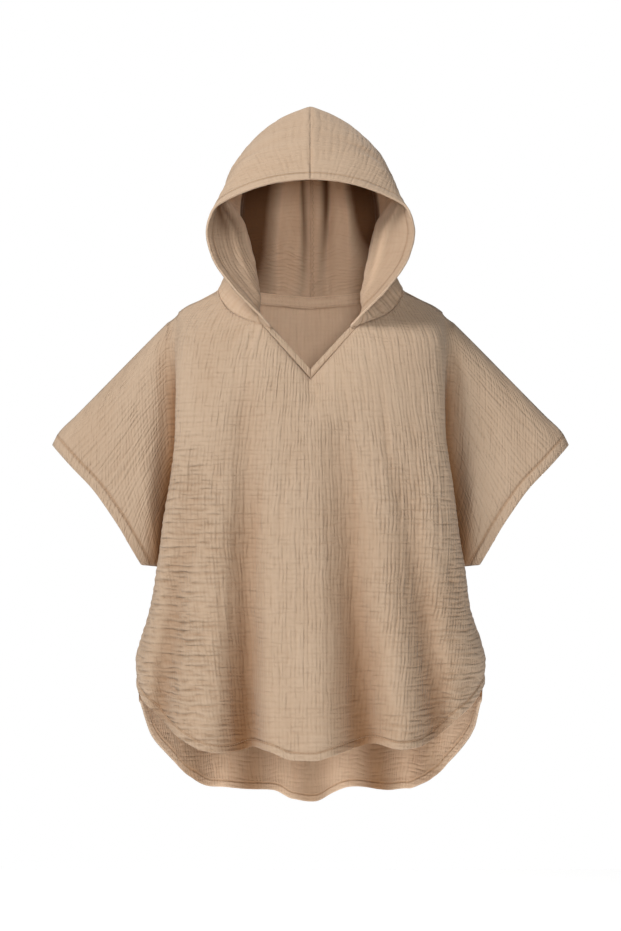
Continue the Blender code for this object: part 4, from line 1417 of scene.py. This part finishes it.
def gauze_material(name, painted_light=1.0, fold_shade=0.0, fold_shade_colour=GAUZE_FOLD_SHADE, puffed=1.0):
    """Crinkled double gauze, with shade painted into its valleys, its stitch groove and its folds.

    The brightness after the name paints the whole copy lighter or darker for the light that its
    place gets. The share after that paints shade at the bottom of a fold, in the colour after it.
    puffed: how high its puffs are, as a share of those on the outer side.
    """
    mat, tree, shader = new_material(name)
    flat = attribute(tree, "flat", "Vector")
    hem = attribute(tree, "hem")
    lines = puff_lines(tree, flat, puffed)
    from_stitches = maths(tree, "ABSOLUTE", minus(tree, hem, HEM_STITCH))
    groove = ramp(tree, from_stitches, GROOVE_WIDTH, 0.0)

    warp_threads = stretched_noise(tree, flat, *WARP_THREAD, 1.0, 1.7)
    weft_threads = stretched_noise(tree, flat, *WEFT_THREAD, 1.0, 2.9)
    threads = plus(tree, warp_threads, times(tree, weft_threads, WEFT_HEIGHT))
    height = minus(tree, times(tree, threads, THREAD_HEIGHT), times(tree, lines, PUFF_HEIGHT))
    height = minus(tree, height, times(tree, groove, GROOVE_DEPTH))
    bump = node(tree, "ShaderNodeBump")
    bump.inputs["Strength"].default_value = 1.0
    bump.inputs["Distance"].default_value = 0.001
    tree.links.new(height, bump.inputs["Height"])
    tree.links.new(bump.outputs["Normal"], shader.inputs["Normal"])

    # Painted shade: the valleys between puffs, low places of the relief and the stitch groove are
    # coloured darker and warmer.
    low = ramp(tree, attribute(tree, "relief"), *LOW_RELIEF)
    shade = plus(tree, times(tree, lines, LINE_SHADE), times(tree, low, LOW_SHADE))
    shade = plus(tree, shade, times(tree, groove, GROOVE_SHADE))
    shade = maths(tree, "MINIMUM", shade, 1.0)

    # Each copy is painted lighter or darker as a whole, for the light that its place gets.
    def lit(colour, share=1.0):
        return tuple(min(1.0, value * painted_light * share) for value in colour)

    slub = stretched_noise(tree, flat, *SLUB_CELLS, 2.0, 4.1)
    colour = tinted(tree, slub, lit(GAUZE_COLOUR, SLUB_SHADE), lit(GAUZE_COLOUR))
    colour = tinted(tree, shade, colour, lit(GAUZE_VALLEY_SHADE))
    worn = ramp(tree, hem, WORN_EDGE, 0.0, WORN_SHARE)
    colour = tinted(tree, worn, colour, lit(GAUZE_WORN))
    # Painted shade at the bottom of the large folds, in the crevice beside the sleeve and in the
    # hood's hollows.
    if fold_shade:
        fold = times(tree, attribute(tree, "fold"), fold_shade)
        colour = tinted(tree, fold, colour, fold_shade_colour)
    tree.links.new(colour, shader.inputs["Base Color"])
    shader.inputs["Roughness"].default_value = 0.92
    shader.inputs["Specular IOR Level"].default_value = 0.25
    shader.inputs["Sheen Weight"].default_value = 0.18
    shader.inputs["Sheen Roughness"].default_value = 0.45
    shader.inputs["Sheen Tint"].default_value = SHEEN_TINT
    return mat


# The copies differ by painted light: the inner sides and the tape much lighter, the hood's outside
# a little lighter, the band a little darker. The body and the inner sides get painted shade in
# their folds.
cloth_material = gauze_material("double_gauze", fold_shade=0.85)
hood_material = gauze_material("double_gauze_hood", 1.06)
hood_inside = gauze_material("double_gauze_hood_inside", 1.36, 0.97, HOOD_FOLD_SHADE, 0.85)
back_inside = gauze_material("double_gauze_back_inside", 1.38, 0.80, puffed=0.55)
band_material = gauze_material("double_gauze_band", 0.98)
tape_material = gauze_material("double_gauze_tape", 1.42)
print("materials:", [mat.name for mat in bpy.data.materials])

# %% [markdown]
# Each piece becomes one object: an open sheet that a Solidify modifier gives its thickness
# inwards. A vertex group makes the wall thicker in the hems, where the cloth is folded over.

# %% Pieces of cloth
HEM_WALL = 0.0030
CLOTH_WALL = 0.0019


def add_piece(name, mesh, material, wall, thin=1.0, inside=None):
    """Links a cloth piece and gives it its wall. thin: wall away from the hems, as a share."""
    piece = bpy.data.objects.new(name, mesh)
    bpy.context.scene.collection.objects.link(piece)
    piece.data.materials.append(material)
    shell = piece.modifiers.new("wall", "SOLIDIFY")
    shell.thickness = wall
    shell.offset = -1
    if inside:
        piece.data.materials.append(inside)
        shell.material_offset = 1
    if thin < 1:
        group = piece.vertex_groups.new(name="folded_over")
        hem = np.array([entry.value for entry in mesh.attributes["hem"].data])
        for index in np.flatnonzero(hem < HEM_WIDTH + 0.001):
            group.add([int(index)], 1.0, "REPLACE")
        shell.vertex_group = group.name
        shell.thickness_vertex_group = thin
    return piece


def add_panel(name, sheets, material, inside=None):
    """Adds a large piece, thicker in its hems than elsewhere."""
    piece = add_piece(name, cloth_mesh(name, sheets), material, HEM_WALL,
                      CLOTH_WALL / HEM_WALL, inside)
    print(name, len(piece.data.polygons), "faces")
    return piece


front = add_panel("front_cloth", panels[-1], cloth_material)
back = add_panel("back_cloth", panels[1], cloth_material, back_inside)
hood_left = add_panel("hood_left_cloth", [hood[-1]], hood_material, hood_inside)
hood_right = add_panel("hood_right_cloth", [hood[1]], hood_material, hood_inside)

# %% [markdown]
# The band round the V is one narrow strip on each side, meeting in a mitre at the point. The
# tape covers the seam inside the back of the neck.

# %% V band and neck tape
BAND_GRID = (56, 12)
BAND_TUCK = 0.0014
BAND_FLUSH = 0.0010
TAPE_GRID = (120, 10)
STRIP_PUCKER = 0.00035
STRIP_EDGE_SINK = 0.0004
STRIP_ROUGHNESS = 0.8
STRIP_FROM_HEM = 0.02


def plain_facts(points, seed, warp=0.8):
    """Facts of a small strip with light puckers."""
    flat = np.stack([arc_lengths(points, 1), arc_lengths(points, 0)], axis=-1)
    edge = distances_to(points, np.concatenate([dense(points[0]), dense(points[-1])]))
    relief = STRIP_PUCKER * hills(flat[..., 0] / 0.006, flat[..., 1] / 0.012, seed)
    relief -= STRIP_EDGE_SINK * np.exp(-((edge / 0.0012) ** 2))
    return {
        "points": points, "flat": flat, "relief": relief, "hem": edge + STRIP_FROM_HEM,
        "seam": edge, "warp": np.full(edge.shape, warp), "fold": np.zeros_like(edge),
        "rough": np.full(edge.shape, STRIP_ROUGHNESS),
    }


def band_sheet(side):
    gap = 0.5 * SEAM_GAP
    along, over = np.meshgrid(np.linspace(0, BAND_END, BAND_GRID[0]),
                              np.linspace(0, 1, BAND_GRID[1]))
    outer_x = gap + (V_CORNER_X - gap) * along
    inner_x = gap + (BAND_CORNER_X - gap) * along
    x = outer_x + (inner_x - outer_x) * over
    outer_z = V_POINT + (V_CORNER_Z - V_POINT) * along
    inner_z = V_POINT + BAND_RISE + (BAND_CORNER_Z - V_POINT - BAND_RISE) * along
    z = outer_z + (inner_z - outer_z) * over
    y = -panel_neck_depth(outer_x, -1) + BAND_LEAN * over
    y[0] += BAND_TUCK
    z[0] -= BAND_TUCK
    if side < 0:
        y[1:] -= BAND_FLUSH
    sheet = plain_facts(np.stack([side * x, y, z], axis=-1), 81 + side)
    sheet["flip"] = side < 0
    return sheet


def tape_sheet():
    turns, over = np.meshgrid(np.linspace(TAPE_START, 360 - TAPE_START, TAPE_GRID[0]),
                              np.linspace(0, 1, TAPE_GRID[1]))
    mirrored = np.where(turns > 180, 360 - turns, turns)
    x, y, z = neck_point(mirrored)
    inside = TAPE_INSET / np.hypot(x, y)
    x = np.where(turns > 180, -x, x)
    z = z + TAPE_ABOVE_SEAM - TAPE_HEIGHT * over
    sheet = plain_facts(np.stack([x * (1 - inside), y * (1 - inside), z], axis=-1), 91, 0.3)
    sheet["flip"] = True
    return sheet


bands = {side: band_sheet(side) for side in (-1, 1)}
band_pieces = {
    side: add_piece(f"v_band_{'left' if side < 0 else 'right'}_cloth",
                    cloth_mesh("v_band", [bands[side]]), band_material, WALL)
    for side in (-1, 1)
}
tape = tape_sheet()
tape_piece = add_piece("neck_tape_cloth", cloth_mesh("neck_tape", [tape]), tape_material, TAPE_WALL)
print("bands and tape:", [len(band_pieces[side].data.polygons) for side in (-1, 1)],
      len(tape_piece.data.polygons))

# %% [markdown]
# Stitches are real thread. Every seam that is sewn from outside gets a row of short, slightly
# sunk, rounded stitches along a line at a fixed distance from the edge. One small sphere drawn
# out along the row makes a stitch, and all stitches of a seam are joined in one mesh.

# %% Stitches
STITCH_PITCH = 0.0031
STITCH_LENGTH = 0.0027
STITCH_RADIUS = 0.00026
STITCH_LIFT = 0.2
STITCH_BREADTH = 1.15
THREAD_COLOUR = (0.520, 0.350, 0.225)
THREAD_TWIST = 900.0
THREAD_LIGHTER = 1.18


def thread_material():
    """Matt sewing thread, twisted."""
    mat, tree, shader = new_material("sewing_thread")
    place = node(tree, "ShaderNodeTexCoord").outputs["Object"]
    noise = node(tree, "ShaderNodeTexNoise")
    noise.inputs["Scale"].default_value = THREAD_TWIST
    tree.links.new(place, noise.inputs["Vector"])
    lighter = tuple(value * THREAD_LIGHTER for value in THREAD_COLOUR)
    colour = tinted(tree, noise.outputs["Fac"], THREAD_COLOUR, lighter)
    tree.links.new(colour, shader.inputs["Base Color"])
    bump = node(tree, "ShaderNodeBump")
    bump.inputs["Distance"].default_value = 0.0001
    tree.links.new(noise.outputs["Fac"], bump.inputs["Height"])
    tree.links.new(bump.outputs["Normal"], shader.inputs["Normal"])
    shader.inputs["Roughness"].default_value = 0.7
    shader.inputs["Sheen Weight"].default_value = 0.2
    return mat


thread = thread_material()


def displaced(sheet):
    """Points of a sheet after its puckers, and its outward normals."""
    normals = grid_normals(sheet["points"]) * (-1 if sheet["flip"] else 1)
    return sheet["points"] + normals * sheet["relief"][..., None], normals


def line_at(sheet, fact, distance, axis, lift=0.0):
    """The line on a sheet where a fact has one value, searched from the far end of an axis."""
    points, normals = displaced(sheet)
    values = sheet[fact]
    if axis == 1:
        points, normals, values = (a.swapaxes(0, 1) for a in (points, normals, values))
    found = []
    for column in range(values.shape[1]):
        beyond = np.flatnonzero(values[:, column] > distance)
        if not len(beyond) or beyond[-1] == len(values) - 1:
            continue
        j = beyond[-1]
        a, b = values[j, column], values[j + 1, column]
        t = (a - distance) / (a - b)
        place = points[j, column] * (1 - t) + points[j + 1, column] * t
        normal = normals[j, column] * (1 - t) + normals[j + 1, column] * t
        found.append((place + normal * lift, normal / np.linalg.norm(normal)))
    return np.array([f[0] for f in found]), np.array([f[1] for f in found])


def between(at, lengths, values):
    """The row of values at a length along a line."""
    return Vector([np.interp(at, lengths, values[:, k]) for k in range(3)])


def sew(name, runs, pitch=STITCH_PITCH, length=STITCH_LENGTH, radius=STITCH_RADIUS):
    """One piece of stitches along several lines, each given as points and normals."""
    bm = bmesh.new()
    count = 0
    for points, normals in runs:
        if len(points) < 3:
            continue
        lengths = np.concatenate([[0], np.cumsum(np.linalg.norm(np.diff(points, axis=0), axis=1))])
        places = np.arange(pitch, lengths[-1] - pitch / 2, pitch)
        for at in places:
            ends = [between(at + s * length / 2, lengths, points) for s in (-1, 1)]
            normal = between(at, lengths, normals).normalized()
            along = (ends[1] - ends[0]).normalized()
            beside = along.cross(normal).normalized()
            up = beside.cross(along)
            turn = Matrix((along, beside, up)).transposed().to_4x4()
            place = Matrix.Translation((ends[0] + ends[1]) / 2 + up * radius * STITCH_LIFT)
            size = Matrix.Diagonal((length / 2, radius * STITCH_BREADTH, radius, 1))
            bmesh.ops.create_uvsphere(bm, u_segments=6, v_segments=5, radius=1,
                                      matrix=place @ turn @ size)
            count += 1
    mesh = bpy.data.meshes.new(name)
    bmesh.ops.recalc_face_normals(bm, faces=bm.faces)
    bm.to_mesh(mesh)
    bm.free()
    mesh.shade_smooth()
    piece = bpy.data.objects.new(name, mesh)
    bpy.context.scene.collection.objects.link(piece)
    piece.data.materials.append(thread)
    print(name, count, "stitches")
    return piece


stitches = []
for facing, panel_name in ((-1, "front"), (1, "back")):
    body_sheet, left_sheet, right_sheet = panels[facing]
    stitches.append(sew(f"{panel_name}_hem_stitches",
                        [line_at(body_sheet, "hem", HEM_STITCH, 0)]))
    stitches.append(sew(f"{panel_name}_sleeve_stitches", [
        line_at(sheet, "hem", HEM_STITCH, 1) for sheet in (left_sheet, right_sheet)
    ]))
print(len(stitches), "runs of stitches")

# %% [markdown]
# The band is sewn twice on the right, where it laps over, and the neck tape along both edges.
# Inside the hood, the allowance of the centre seam is overlocked: its thread zigzags down it.

# %% Stitches of the band and tape
OVERLOCK_STEP = 0.0045
OVERLOCK_NEAR = 0.0025
OVERLOCK_FAR = 0.0065
OVERLOCK_TOP = 0.80
OVERLOCK_PITCH = 0.0029
OVERLOCK_RADIUS = 0.00062


def row_of(sheet, share, lift=0.0):
    """A line along a strip at a share of its width."""
    points, normals = displaced(sheet)
    at = share * (points.shape[0] - 1)
    j = min(int(at), points.shape[0] - 2)
    t = at - j
    line = points[j] * (1 - t) + points[j + 1] * t
    normal = normals[j] * (1 - t) + normals[j + 1] * t
    return line + normal * lift, normal


stitches.append(sew("v_band_stitches", [
    row_of(bands[1], share) for share in (0.14, 0.34)
]))
tape_rows = [row_of(tape, share) for share in (0.14, 0.86)]
inner_rows = [(points - normals * (TAPE_WALL + 0.0001), -normals) for points, normals in tape_rows]
stitches.append(sew("neck_tape_stitches", inner_rows))


def overlock(sheet):
    """A zigzag of thread down the inside of the hood, over the pressed allowance."""
    points, normals = displaced(sheet)
    inner = points - normals * (CLOTH_WALL + STITCH_RADIUS)
    from_seam = arc_lengths(inner, 1)[:, -1:] - arc_lengths(inner, 1)
    heights = arc_lengths(inner, 0)[:, -1]
    places = np.arange(OVERLOCK_STEP, heights[-1] * OVERLOCK_TOP, OVERLOCK_STEP)
    line, outward = [], []
    for number, height in enumerate(places):
        row = int(np.searchsorted(heights, height))
        distance = OVERLOCK_NEAR if number % 2 else OVERLOCK_FAR
        column = int(np.argmin(np.abs(from_seam[row] - distance)))
        line.append(inner[row, column])
        outward.append(-normals[row, column])
    return np.array(line), np.array(outward)


stitches.append(sew("hood_overlock", [overlock(hood[1])], OVERLOCK_PITCH,
                    radius=OVERLOCK_RADIUS))

# %% [markdown]
# Last, the pieces are tied to the frame. Each cloth piece stands for the CAD solid of the same
# piece, which is hidden, and says how large its flat cut is.

# %% Tie the pieces to the frame
PIECES = (
    # The piece, the solid that it replaces and its slot.
    (front, "front_panel", "cloth"),
    (back, "back_panel", "cloth"),
    (hood_left, "hood_left", "cloth"),
    (hood_right, "hood_right", "cloth"),
    (band_pieces[-1], "v_band_left", "band"),
    (band_pieces[1], "v_band_right", "band"),
    (tape_piece, "neck_tape", "tape"),
)


def print_area(piece):
    """Prints half the area of a closed shell, which is one layer of its cloth."""
    graph = bpy.context.evaluated_depsgraph_get()
    evaluated = piece.evaluated_get(graph).to_mesh()
    area = sum(face.area for face in evaluated.polygons) / 2
    triangles = sum(len(face.vertices) - 2 for face in evaluated.polygons)
    print(piece.name, f"{area:.4f} m2, {triangles} triangles")


for piece, solid, slot in PIECES:
    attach(piece, "root")
    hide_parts(solid)
    print_area(piece)
for piece in stitches:
    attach(piece, "root")
